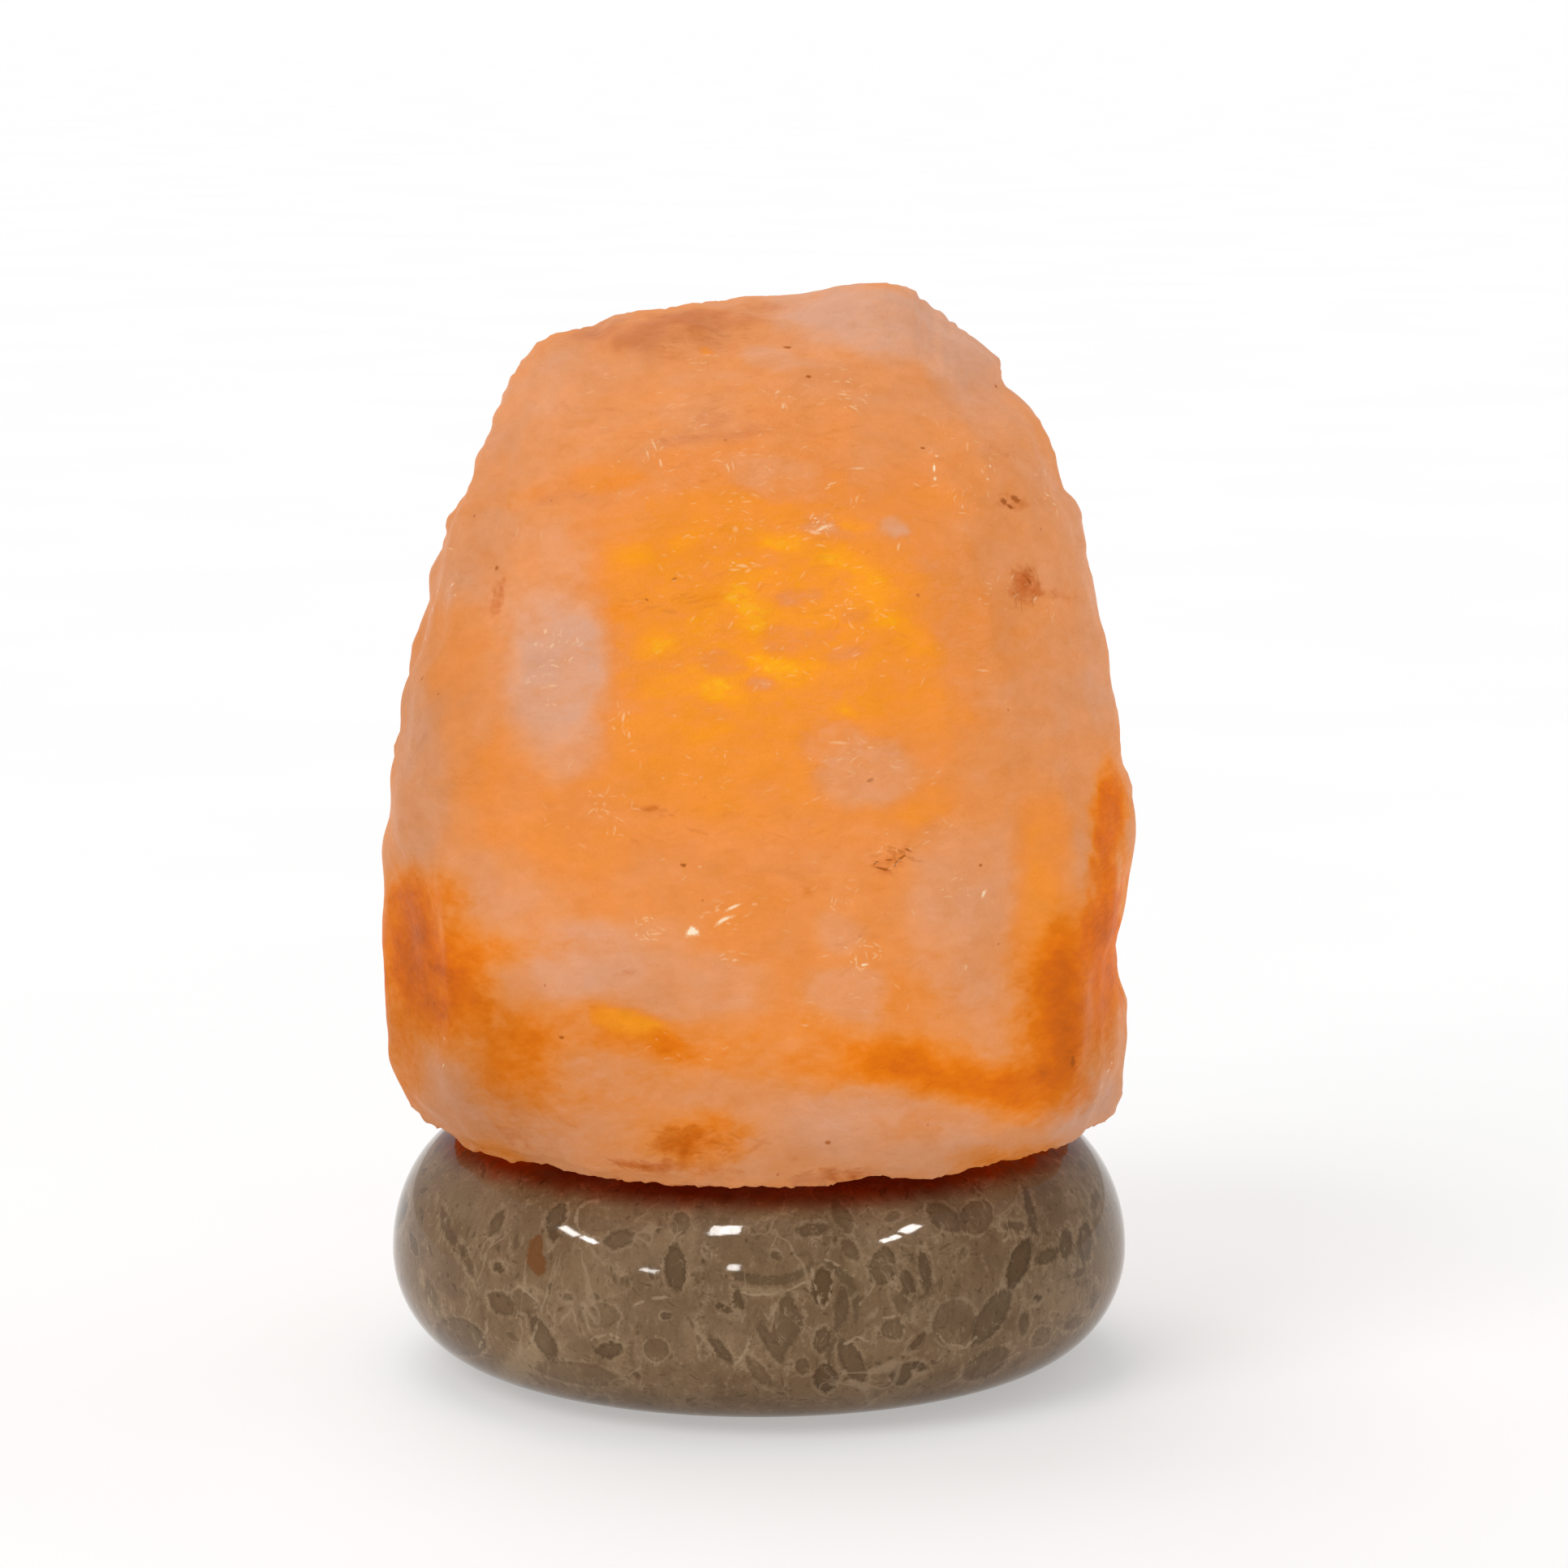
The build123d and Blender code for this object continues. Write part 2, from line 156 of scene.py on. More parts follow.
# ------------------------------------------------------------------ the salt block's mesh
# Reach of the hewn block to the left and right at each height, in millimetres.
LEFT = [(42.3, -57.6), (45.0, -59.9), (46.4, -60.3), (48.4, -61.6), (56.7, -63.5), (59.3, -63.5), (61.3, -63.0),
        (63.9, -63.5), (70.4, -63.3), (75.0, -63.5), (77.2, -63.4), (92.0, -63.5), (97.9, -62.6), (104.1, -63.2),
        (106.3, -63.0), (111.9, -60.8), (122.6, -60.1), (130.4, -56.8), (135.7, -56.8), (140.1, -54.5), (142.3, -53.9),
        (145.1, -53.8), (146.5, -52.4), (149.8, -50.2), (152.9, -48.7), (155.3, -48.5), (160.9, -45.4), (163.9, -44.7),
        (165.8, -43.7), (169.4, -42.7), (171.9, -41.3), (175.4, -38.5), (176.8, -35.2), (178.4, -28.1), (180.4, -24.2),
        (183.1, -4.6), (183.6, 6.1), (185.3, 13.8)]
RIGHT_SIDE = [(42.3, 59.2), (45.6, 61.3), (46.4, 61.3), (48.7, 62.4), (50.7, 62.8), (58.4, 63.5), (62.4, 63.5), (66.7, 62.2),
              (72.1, 61.3), (77.0, 61.1), (83.8, 62.3), (87.7, 62.4), (93.9, 63.5), (100.7, 63.5), (102.9, 62.9), (104.4, 62.0),
              (106.9, 61.2), (111.7, 61.0), (116.1, 60.3), (118.7, 59.3), (124.8, 58.8), (136.8, 56.6), (139.3, 55.8),
              (142.3, 55.7), (146.8, 54.9), (149.0, 53.9), (150.6, 52.2), (152.3, 51.4), (157.0, 50.5), (162.5, 48.0),
              (166.1, 44.8), (167.7, 42.6), (168.8, 41.7), (173.0, 41.3), (177.4, 35.9), (180.6, 30.7), (184.5, 26.7),
              (185.3, 22.3)]
# The top outline as seen from the camera, in the photograph's pixels
TOP_EDGE = [(600, 540), (612, 504), (624, 469), (636, 448), (648, 433), (660, 422), (684, 410), (708, 405), (732, 400), (756, 388),
            (780, 383), (816, 380), (852, 373), (888, 370), (912, 365), (960, 364), (984, 362), (1008, 357), (1032, 352), (1056, 349),
            (1092, 348), (1116, 352), (1128, 356), (1140, 368), (1164, 386), (1188, 405), (1212, 422), (1236, 447), (1248, 482),
            (1260, 491), (1284, 518), (1296, 545)]
SALT_Z0, SALT_TOP, BORE_R, BORE_TOP, REACH = 42.3, 185.6, 22.0, 153.0, 63.45


def chisel(p, at, count, tilt, deep, curve, seed):
    """Hewn flats: the lowest of many shallow dishes, each tilted its own way and centred on one of the points at."""
    rng = np.random.default_rng(seed)
    c = at[rng.choice(len(at), count, replace=False)].astype(np.float32)
    t = rng.normal(0, tilt, c.shape).astype(np.float32)
    o = rng.uniform(-0.5, 0.5, count).astype(np.float32) * deep
    const = o - (t * c).sum(1) + curve * (c * c).sum(1)
    out = np.empty(len(p))
    for s in range(0, len(p), 30000):
        q = p[s:s + 30000].astype(np.float32)
        out[s:s + 30000] = (q @ (t - 2 * curve * c).T + const + curve * (q * q).sum(1)[:, None]).min(1)
    return out - np.median(out)


def eased(p, edges, weight, times):
    """Each point moves toward the middle of its neighbours."""
    n = len(p)
    count = np.maximum(np.bincount(edges.ravel(), minlength=n), 1)[:, None]
    for _ in range(times):
        total = np.stack([np.bincount(edges[:, 0], p[edges[:, 1], k], n) + np.bincount(edges[:, 1], p[edges[:, 0], k], n) for k in range(3)], 1)
        p = p + (total / count - p) * weight[:, None] * 0.6
    return p


def block_mesh():
    mesh = NODES["salt_crystal"].data.copy()
    bm = bmesh.new()
    bm.from_mesh(mesh)
    bmesh.ops.remove_doubles(bm, verts=bm.verts, dist=1e-6)
    bm.to_mesh(mesh)
    bm.free()
    mesh.materials.clear()
    for a in [a.name for a in mesh.attributes if a.name.startswith("custom_normal")]:
        mesh.attributes.remove(mesh.attributes[a])
    obj = object_from(mesh, "salt_block")
    r = obj.modifiers.new("voxels", "REMESH")
    r.mode, r.voxel_size, r.adaptivity = "VOXEL", 0.00094, 0.0
    baked(obj)

    p = coords(obj.data) * 1000
    n = normals(obj.data)
    rad = np.hypot(p[:, 0], p[:, 1])
    bore = (rad < BORE_R + 0.9) & (p[:, 2] < BORE_TOP + 0.9)
    under = (p[:, 2] < SALT_Z0 + 0.35) & (n[:, 2] < -0.4)
    fixed = bore
    # how much of the roughness each place gets: the front is the smoothest side
    front = smooth(0.45, 0.9, -n[:, 1])
    free = smooth(SALT_Z0, SALT_Z0 + 4.0, p[:, 2])
    rough = 1 - 0.5 * front
    outside = p[~bore & ~under]
    wob = np.stack([noise(p / 13.0, 5), noise(p / 13.0, 6), noise(p / 13.0, 7)], 1) * 2.5
    q = p + wob
    big = chisel(q, outside, 210, 0.11, 1.3, 0.011, 11)
    small = chisel(q * (1, 1, 1.3), outside * (1, 1, 1.3), 1300, 0.12, 0.6, 0.03, 12)
    d = 0.9 * np.clip(big, -1.6, 1.6) + 0.5 * np.clip(small, -1.0, 1.0)
    d += 0.45 * fbm(p / (15, 15, 10), 1, 2)
    d += 0.20 * fbm(q / (7, 7, 3.0), 2, 2)
    d += 0.10 * fbm(q / (3.2, 3.2, 1.9), 3, 2)
    move = np.clip(d * rough * (0.45 + 0.55 * free), -2.2, 0.9)
    # chips broken off the lower edge
    chip = np.clip(fbm(p / (3.6, 3.6, 2.4), 8, 3) - 0.05, 0, 1) * 3.6 * smooth(SALT_Z0 + 3.4, SALT_Z0 + 0.6, p[:, 2])
    move -= chip
    move[fixed] = 0
    way = n * move[:, None]
    way[:, 2] *= smooth(SALT_Z0 + 0.3, SALT_Z0 + 3.5, p[:, 2])
    flat = smooth(0.55, 0.95, -n[:, 2]) * smooth(SALT_Z0 + 1.2, SALT_Z0 + 0.3, p[:, 2])
    p = p + way * (1 - flat)[:, None]
    edges = np.zeros(len(obj.data.edges) * 2, int)
    obj.data.edges.foreach_get("vertices", edges)
    worn = smooth(0.15, 0.6, np.abs(n[:, 0])) * smooth(0.5, 0.2, n[:, 1]) * smooth(SALT_Z0 + 3, SALT_Z0 + 8, p[:, 2]) * ~fixed
    p = eased(p, edges.reshape(-1, 2), worn, 9)

    # the sawn lower edge is broken upwards here and there
    reach = smooth(47, 53, np.hypot(p[:, 0], p[:, 1])) * smooth(SALT_Z0 + 4.5, SALT_Z0 + 0.5, p[:, 2])
    flat_p = p * (1, 1, 0)
    broken = np.clip(fbm(flat_p / 9.0, 21, 2) + 0.05, 0, 1) * 1.7 + np.abs(fbm(flat_p / 2.2, 22, 2)) * 0.9
    p[:, 2] += broken * reach * ~fixed

    # the side outlines come back to their measured reach
    zs = np.arange(SALT_Z0, SALT_TOP + 0.5, 0.8)
    outer = ~fixed
    lo, hi, y_lo, y_hi = [], [], [], []
    for z in zs:
        near = np.nonzero(outer & (np.abs(p[:, 2] - z) < 0.9))[0]
        a, b = near[p[near, 0].argmin()], near[p[near, 0].argmax()]
        lo.append(p[a, 0]); hi.append(p[b, 0]); y_lo.append(p[a, 1]); y_hi.append(p[b, 1])
    lo, hi = np.array(lo), np.array(hi)

    def even(values, half=6):
        """A running mean along the height."""
        return np.convolve(np.pad(values, half, "edge"), np.ones(2 * half + 1) / (2 * half + 1), "valid")

    want_lo = np.interp(zs, *zip(*LEFT)); want_hi = np.interp(zs, *zip(*RIGHT_SIDE))
    z = np.minimum(p[:, 2], 181.5)
    c_lo, c_hi = np.interp(z, zs, lo), np.interp(z, zs, hi)
    side_lo = smooth(0.55, 1.0, p[:, 0] / np.minimum(c_lo, -1)); side_hi = smooth(0.55, 1.0, p[:, 0] / np.maximum(c_hi, 1))
    # the broad part all along the side, the small steps only where the outline is seen
    shift = 0
    for here, need, y_at, side in ((p[:, 0] < 0, want_lo - lo, y_lo, side_lo), (p[:, 0] >= 0, want_hi - hi, y_hi, side_hi)):
        broad = even(need)
        seen = np.exp(-((p[:, 1] - np.interp(z, zs, even(np.array(y_at), 10))) / 16) ** 2)
        shift = shift + here * side * (np.interp(z, zs, broad) + np.interp(z, zs, need - broad) * seen)
    shift = np.clip(shift, -3, 3) * smooth(178.5, 174.5, p[:, 2])
    shift[fixed] = 0
    p[:, 0] += shift
    held = smooth(178.5, 174.5, p[:, 2]) * ~fixed
    reach_lo, reach_hi = np.interp(z, zs, want_lo), np.interp(z, zs, want_hi)
    p[:, 0] += (np.clip(p[:, 0], reach_lo, reach_hi) - p[:, 0]) * held
    p[:, 0] = np.clip(p[:, 0], -REACH, REACH)
    # so does the top outline
    for _ in range(3):
        u, v = to_px(p / 1000)
        columns = np.arange(612, 1290, 6.0)
        seen = np.array([v[outer & (np.abs(u - c) < 5)].min() for c in columns])
        lower = np.interp(columns, *zip(*TOP_EDGE)) - seen
        lower *= smooth(612, 650, columns) * smooth(1206, 1170, columns)
        top_at = np.interp(u, columns, seen)
        p[:, 2] -= np.interp(u, columns, lower, 0, 0) / 7.6 * smooth(150, 20, v - top_at) * outer
    p[~fixed, 2] = np.clip(p[~fixed, 2], SALT_Z0, SALT_TOP)
    obj.data.vertices.foreach_set("co", (p / 1000).ravel())
    obj.data.update()

    # the bore and the underside need far fewer faces than the outside
    plain = obj.vertex_groups.new(name="plain")
    hidden = np.where(((rad < BORE_R + 0.5) & (p[:, 2] < BORE_TOP + 0.4)) | (under & (rad > BORE_R + 1.5) & (rad < 49)))[0]
    plain.add([int(i) for i in hidden], 1.0, "REPLACE")
    dec = obj.modifiers.new("thin", "DECIMATE")
    dec.ratio, dec.vertex_group = 0.79, "plain"
    baked(obj)
    obj.vertex_groups.clear()
    obj.data.shade_smooth()
    return obj


block = block_mesh()
print("salt_block triangles", sum(len(f.vertices) - 2 for f in block.data.polygons))

# ------------------------------------------------------------------ the salt block's colours
# From milky salt through peach to where the light shines through: the step along the scale, and its colour
SCALE = [(0.00, (217, 162, 132)), (0.10, (225, 160, 121)), (0.20, (228, 155, 106)), (0.32, (231, 149, 88)), (0.45, (235, 144, 70)),
         (0.58, (241, 146, 52)), (0.72, (246, 150, 38)), (0.86, (251, 158, 24)), (1.00, (255, 180, 20))]
# and the iron-stained salt, whose scale also gives the painted deep glow of the underside and the bore: from peach
# through deep orange to rust
DEEP = [(0.00, (236, 142, 60)), (0.25, (240, 138, 26)), (0.45, (236, 126, 8)), (0.62, (226, 112, 12)), (0.80, (210, 102, 20)), (1.00, (182, 84, 22))]

# Patches on the side that faces the photograph: centre, half sizes, turn in degrees, strength, and how square (2 is an ellipse)
MILKY = [
    (684, 822, 62, 96, 2, 0.95, 2.6), (704, 915, 46, 46, 0, 0.55, 2), (650, 700, 84, 46, -18, 0.36, 2), (612, 652, 34, 26, 0, 0.25, 2),
    (515, 985, 34, 84, 4, 0.42, 2), (612, 1088, 66, 44, 0, 0.36, 2), (505, 905, 18, 66, 8, 0.38, 2), (690, 470, 66, 34, -22, 0.36, 2),
    (628, 520, 28, 50, 14, 0.30, 2), (952, 440, 36, 15, 14, 0.62, 2), (880, 470, 60, 12, 0, 0.2, 2), (1040, 470, 70, 22, 10, 0.22, 2),
    (952, 586, 62, 28, 10, 0.40, 2), (1010, 651, 22, 11, 8, 0.5, 2), (1101, 648, 17, 11, 4, 0.55, 2), (975, 784, 46, 18, 0, 0.42, 2),
    (1023, 773, 12, 10, 0, 0.3, 2), (934, 838, 20, 9, 8, 0.45, 2), (888, 812, 26, 14, 0, 0.30, 2), (983, 731, 34, 10, 0, 0.42, 2), (1052, 757, 16, 9, 0, 0.4, 2), (1101, 650, 22, 9, 6, 0.5, 2), (1046, 803, 34, 12, -8, 0.35, 2),
    (1066, 955, 58, 40, -8, 0.62, 2.4), (1030, 915, 40, 26, 0, 0.36, 2), (1190, 1082, 62, 62, 0, 0.46, 5), (1168, 1170, 50, 50, 10, 0.26, 3),
    (1035, 1145, 34, 22, 0, 0.45, 2), (722, 1184, 60, 48, -12, 0.80, 2.2), (660, 1135, 70, 34, 10, 0.30, 2), (850, 1215, 92, 40, 4, 0.55, 2.4),
    (790, 1160, 60, 30, -6, 0.36, 2), (1042, 1222, 54, 34, 4, 0.62, 2.2), (1190, 1215, 34, 30, 0, 0.3, 2),
    (1085, 1395, 112, 50, 10, 0.66, 2.6), (960, 1412, 100, 44, 0, 0.34, 2), (1190, 1428, 90, 28, -8, 0.26, 2), (900, 1352, 70, 24, 0, 0.25, 2),
    (722, 1380, 66, 78, 10, 0.36, 2.4), (588, 1350, 62, 32, 34, 0.50, 2), (1334, 1362, 54, 42, -40, 0.85, 2.2), (1292, 868, 84, 44, -6, 0.34, 2),
    (1345, 760, 24, 120, -5, 0.34, 2), (1320, 640, 28, 70, -20, 0.3, 2), (1218, 850, 40, 22, 0, 0.2, 2), (860, 1060, 90, 30, 0, 0.12, 2),
    (1080, 395, 120, 42, 6, 0.85, 2.2), (1190, 440, 60, 44, 34, 0.75, 2.2), (1010, 376, 60, 20, -8, 0.5, 2), (1225, 500, 46, 36, 30, 0.36, 2),
    (1160, 500, 70, 20, 8, 0.25, 2), (560, 700, 26, 44, 10, 0.25, 2), (1250, 700, 60, 40, 0, 0.15, 2), (590, 860, 24, 60, 0, 0.12, 2),
]
GREY = [(1090, 385, 130, 36, 4, 0.9, 2), (1190, 430, 60, 40, 34, 0.7, 2), (1340, 1372, 50, 36, -40, 0.6, 2), (684, 830, 50, 80, 2, 0.35, 2)]
WARM = [
    (1280, 1078, 32, 100, 3, 0.55, 4), (630, 985, 70, 84, 0, 0.30, 2), (585, 890, 40, 60, 0, 0.2, 2), (830, 640, 120, 36, -4, 0.36, 2), (1150, 590, 60, 30, 0, 0.2, 2),
    (880, 568, 80, 22, -4, 0.25, 2), (740, 585, 46, 18, -4, 0.36, 2), (560, 800, 42, 60, 6, 0.26, 2), (1090, 622, 90, 30, 4, 0.25, 2),
    (1180, 850, 110, 50, 0, 0.20, 2), (860, 960, 160, 50, -2, 0.26, 2), (700, 1045, 80, 40, 0, 0.22, 2), (1140, 985, 40, 20, -20, 0.45, 2),
    (1100, 1010, 40, 12, 0, 0.3, 2), (870, 437, 10, 7, 0, 0.8, 2), (760, 690, 44, 22, 0, 0.36, 2), (810, 880, 50, 22, 0, 0.3, 2),
    (1118, 1236, 34, 40, 0, 0.25, 2), (950, 1265, 90, 18, 0, 0.22, 2), (980, 600, 60, 18, 0, 0.25, 2), (1200, 770, 30, 20, 0, 0.2, 2),
]
BRIGHT = [
    (970, 668, 30, 12, 6, 0.9, 2), (1037, 690, 30, 15, 14, 1.0, 2), (1083, 727, 28, 14, 12, 1.0, 2), (1092, 760, 24, 16, 40, 0.8, 2), (1058, 704, 30, 12, 20, 0.7, 2),
    (1046, 647, 24, 6, 12, 0.8, 2), (848, 662, 26, 12, -12, 0.6, 2), (778, 684, 26, 14, 0, 0.55, 2), (808, 792, 26, 20, -30, 0.9, 2),
    (866, 762, 24, 14, -40, 0.55, 2), (940, 815, 36, 12, 6, 1.0, 2), (880, 848, 36, 19, 12, 0.9, 2), (1040, 874, 14, 9, 20, 0.6, 2),
    (922, 735, 30, 14, 0, 0.5, 2), (930, 762, 20, 20, 0, 0.4, 2), (820, 845, 30, 14, 0, 0.45, 2), (1130, 800, 30, 24, 50, 0.35, 2),
    (1010, 830, 36, 10, 10, 0.45, 2), (870, 898, 40, 10, 4, 0.35, 2), (1060, 820, 30, 12, -10, 0.35, 2), (779, 1265, 42, 16, 14, 1.0, 2.4), (752, 1255, 20, 8, 0, 0.9, 2),
    (1004, 730, 24, 9, 10, 0.4, 2), (900, 690, 22, 10, 0, 0.35, 2),
    (1044, 700, 66, 34, 14, 0.26, 2), (1094, 745, 36, 44, 20, 0.24, 2), (905, 830, 84, 40, 4, 0.24, 2), (800, 700, 50, 34, 0, 0.18, 2), (935, 745, 60, 40, 0, 0.16, 2),
]
IRON = [
    (523, 1092, 48, 30, 0, 0.34, 2.4), (1118, 1308, 92, 30, 6, 0.44, 2.4), (1186, 1336, 60, 26, 14, 0.38, 2), (800, 1288, 60, 14, 10, 0.26, 2.2),
    (860, 1296, 84, 28, 6, 0.14, 2), (1283, 1250, 42, 92, 4, 0.40, 3), (1328, 1215, 40, 110, 2, 0.50, 2.4), (1366, 1120, 22, 140, -2, 0.60, 2.2),
    (1368, 985, 20, 50, 0, 0.42, 2), (940, 1300, 190, 36, 0, 0.16, 2), (640, 1168, 84, 22, -6, 0.22, 2), (1262, 1346, 60, 38, 0, 0.36, 2),
    (530, 1196, 70, 76, 20, 0.56, 2), (585, 1268, 80, 60, 34, 0.30, 2), (640, 1335, 56, 60, 20, 0.34, 2), (500, 1150, 30, 60, 0, 0.5, 2),
    (700, 1262, 70, 30, 0, 0.26, 2), (773, 750, 36, 12, -6, 0.26, 2), (880, 733, 22, 8, -4, 0.34, 2), (857, 712, 34, 10, -6, 0.22, 2),
    (770, 590, 40, 12, 0, 0.24, 2), (1020, 1330, 90, 24, 10, 0.14, 2), (1255, 790, 30, 14, -20, 0.16, 2), (630, 615, 60, 12, -10, 0.14, 2),
    (870, 1400, 64, 34, -6, 0.38, 2), (1240, 1428, 70, 20, -6, 0.34, 2), (610, 1420, 60, 12, 14, 0.28, 2), (1010, 1240, 120, 50, 0, 0.12, 2),
    (1150, 1220, 60, 60, 0, 0.14, 2), (760, 1330, 120, 40, 6, 0.10, 2), (500, 1330, 26, 60, -10, 0.30, 2),
    (742, 1375, 60, 40, 0, 0.16, 2), (1140, 1385, 60, 36, 0, 0.15, 2), (1300, 1290, 60, 60, 0, 0.13, 2), (790, 1430, 120, 26, 0, 0.13, 2),
]
TANNED = [
    (800, 407, 112, 20, -6, 0.55, 2), (905, 386, 92, 12, -3, 0.4, 2), (850, 432, 80, 16, -2, 0.3, 2), (1225, 522, 50, 18, 20, 0.2, 2),
    (860, 545, 80, 10, -8, 0.24, 2), (950, 525, 130, 8, -10, 0.24, 2), (700, 615, 50, 12, -8, 0.22, 2), (880, 518, 30, 12, 0, 0.35, 2),
    (1190, 565, 60, 12, 10, 0.2, 2), (950, 1075, 90, 20, 6, 0.24, 2), (880, 1012, 70, 10, -6, 0.2, 2), (1180, 1135, 30, 12, 0, 0.2, 2),
]
STAINS = [
    (846, 1408, 46, 24, -6, 0.50, 2), (790, 1436, 40, 8, 8, 0.62, 2), (1042, 1448, 40, 8, -4, 0.60, 2), (1264, 722, 20, 22, 10, 0.85, 2),
    (1300, 734, 26, 10, 6, 0.40, 2), (617, 740, 11, 26, 4, 0.42, 2), (808, 1004, 34, 8, 10, 0.42, 2), (770, 1199, 28, 5, -10, 0.3, 2),
    (541, 1190, 16, 17, 0, 0.45, 2), (1322, 1300, 9, 30, 0, 0.35, 2), (640, 880, 30, 7, 50, 0.22, 2), (822, 438, 18, 8, 0, 0.30, 2),
    (968, 429, 7, 5, 0, 0.3, 2), (1242, 620, 22, 11, 8, 0.45, 2), (1095, 1058, 30, 20, -20, 0.42, 2), (1010, 1100, 60, 12, 8, 0.16, 2),
    (1256, 1236, 12, 40, 8, 0.22, 2), (700, 500, 30, 8, 0, 0.18, 2), (1320, 560, 16, 30, -20, 0.18, 2), (900, 440, 24, 8, 0, 0.3, 2),
    (560, 1240, 30, 40, 20, 0.16, 2), (640, 1400, 26, 16, 20, 0.34, 2), (880, 1440, 60, 7, 4, 0.36, 2), (960, 1010, 40, 8, 6, 0.2, 2),
    (500, 1180, 14, 30, 0, 0.1, 2), (1240, 560, 30, 8, 14, 0.24, 2), (860, 590, 40, 6, -6, 0.22, 2), (760, 640, 30, 6, -6, 0.2, 2),
]
# painted shade: where less light comes through, darker at the lower left, along the bottom and near the edges
DIM = [
    (585, 890, 60, 90, 0, 0.07, 2), (740, 410, 190, 50, 0, 0.05, 2), (1310, 1300, 60, 90, 0, 0.07, 2), (760, 1300, 80, 50, 0, 0.06, 2),
    (545, 1330, 110, 130, 10, 0.27, 2), (650, 1395, 110, 70, 0, 0.16, 2), (505, 960, 34, 260, 0, 0.12, 2), (590, 640, 44, 130, 22, 0.09, 2),
    (930, 1455, 470, 50, 0, 0.17, 2), (1350, 1340, 50, 90, 0, 0.14, 2), (900, 1375, 320, 60, 0, 0.08, 2), (745, 1240, 120, 60, 0, 0.07, 2),
    (500, 1180, 50, 90, 0, 0.09, 2), (560, 1080, 60, 60, 0, 0.06, 2), (520, 900, 60, 260, 8, 0.07, 2),
    (1240, 1420, 70, 24, -8, 0.14, 2), (1330, 1240, 70, 160, 0, 0.06, 2),
]
# where clusters of painted glints lie
SPARKS = [
    (690, 790, 34, 26, 0, 0.9, 2), (700, 766, 18, 12, 0, 0.7, 2), (812, 682, 22, 12, 0, 0.8, 2), (872, 654, 40, 12, 6, 0.8, 2),
    (1006, 650, 26, 14, 0, 1.0, 2), (915, 698, 26, 10, 0, 0.9, 2), (865, 765, 26, 16, -30, 0.6, 2), (1035, 748, 26, 10, 0, 0.6, 2),
    (1062, 630, 24, 8, 0, 0.6, 2), (960, 490, 34, 30, 0, 0.8, 2), (1045, 490, 40, 24, 0, 0.9, 2), (900, 575, 40, 16, 0, 0.8, 2),
    (810, 556, 16, 28, 20, 0.9, 2), (768, 885, 14, 22, 0, 0.9, 2), (1160, 580, 22, 26, 0, 0.9, 2), (1222, 580, 20, 18, 0, 0.8, 2),
    (1268, 600, 14, 18, 0, 0.6, 2), (1283, 640, 12, 10, 0, 0.6, 2), (1275, 735, 16, 14, 0, 0.7, 2), (1200, 830, 30, 8, 0, 0.5, 2),
    (850, 1145, 14, 10, 0, 0.8, 2), (900, 1128, 30, 14, 24, 0.9, 2), (1055, 1185, 26, 12, 0, 0.9, 2), (1022, 1163, 26, 8, 0, 0.6, 2),
    (1212, 1100, 14, 10, 0, 0.8, 2), (1188, 1190, 8, 8, 0, 0.7, 2), (755, 1000, 26, 22, 0, 0.5, 2), (1010, 1010, 60, 20, 0, 0.3, 2),
    (905, 1183, 16, 6, 0, 0.8, 2), (800, 1140, 20, 14, 0, 0.7, 2), (1020, 935, 40, 16, 0, 0.4, 2), (540, 1000, 30, 30, 0, 0.3, 2),
    (870, 437, 16, 8, 0, 0.8, 2), (1020, 455, 26, 8, 0, 0.6, 2), (790, 850, 60, 30, 0, 0.25, 2), (1000, 800, 60, 40, 0, 0.3, 2),
    (620, 690, 30, 30, 0, 0.3, 2), (1290, 880, 30, 20, 0, 0.25, 2), (1010, 1395, 60, 20, 0, 0.2, 2), (1150, 1380, 50, 20, 0, 0.2, 2),
]


def marks(u, v, items, soft=0.38):
    out = np.zeros(len(u))
    for cx, cy, rx, ry, turn, strength, power in items:
        t = math.radians(turn)
        du, dv = u - cx, v - cy
        a = np.abs(du * math.cos(t) + dv * math.sin(t)) / rx
        b = np.abs(-du * math.sin(t) + dv * math.cos(t)) / ry
        m = strength * smooth(1 + soft, 1 - soft, (a ** power + b ** power) ** (1 / power))
        out = 1 - (1 - out) * (1 - m)
    return out


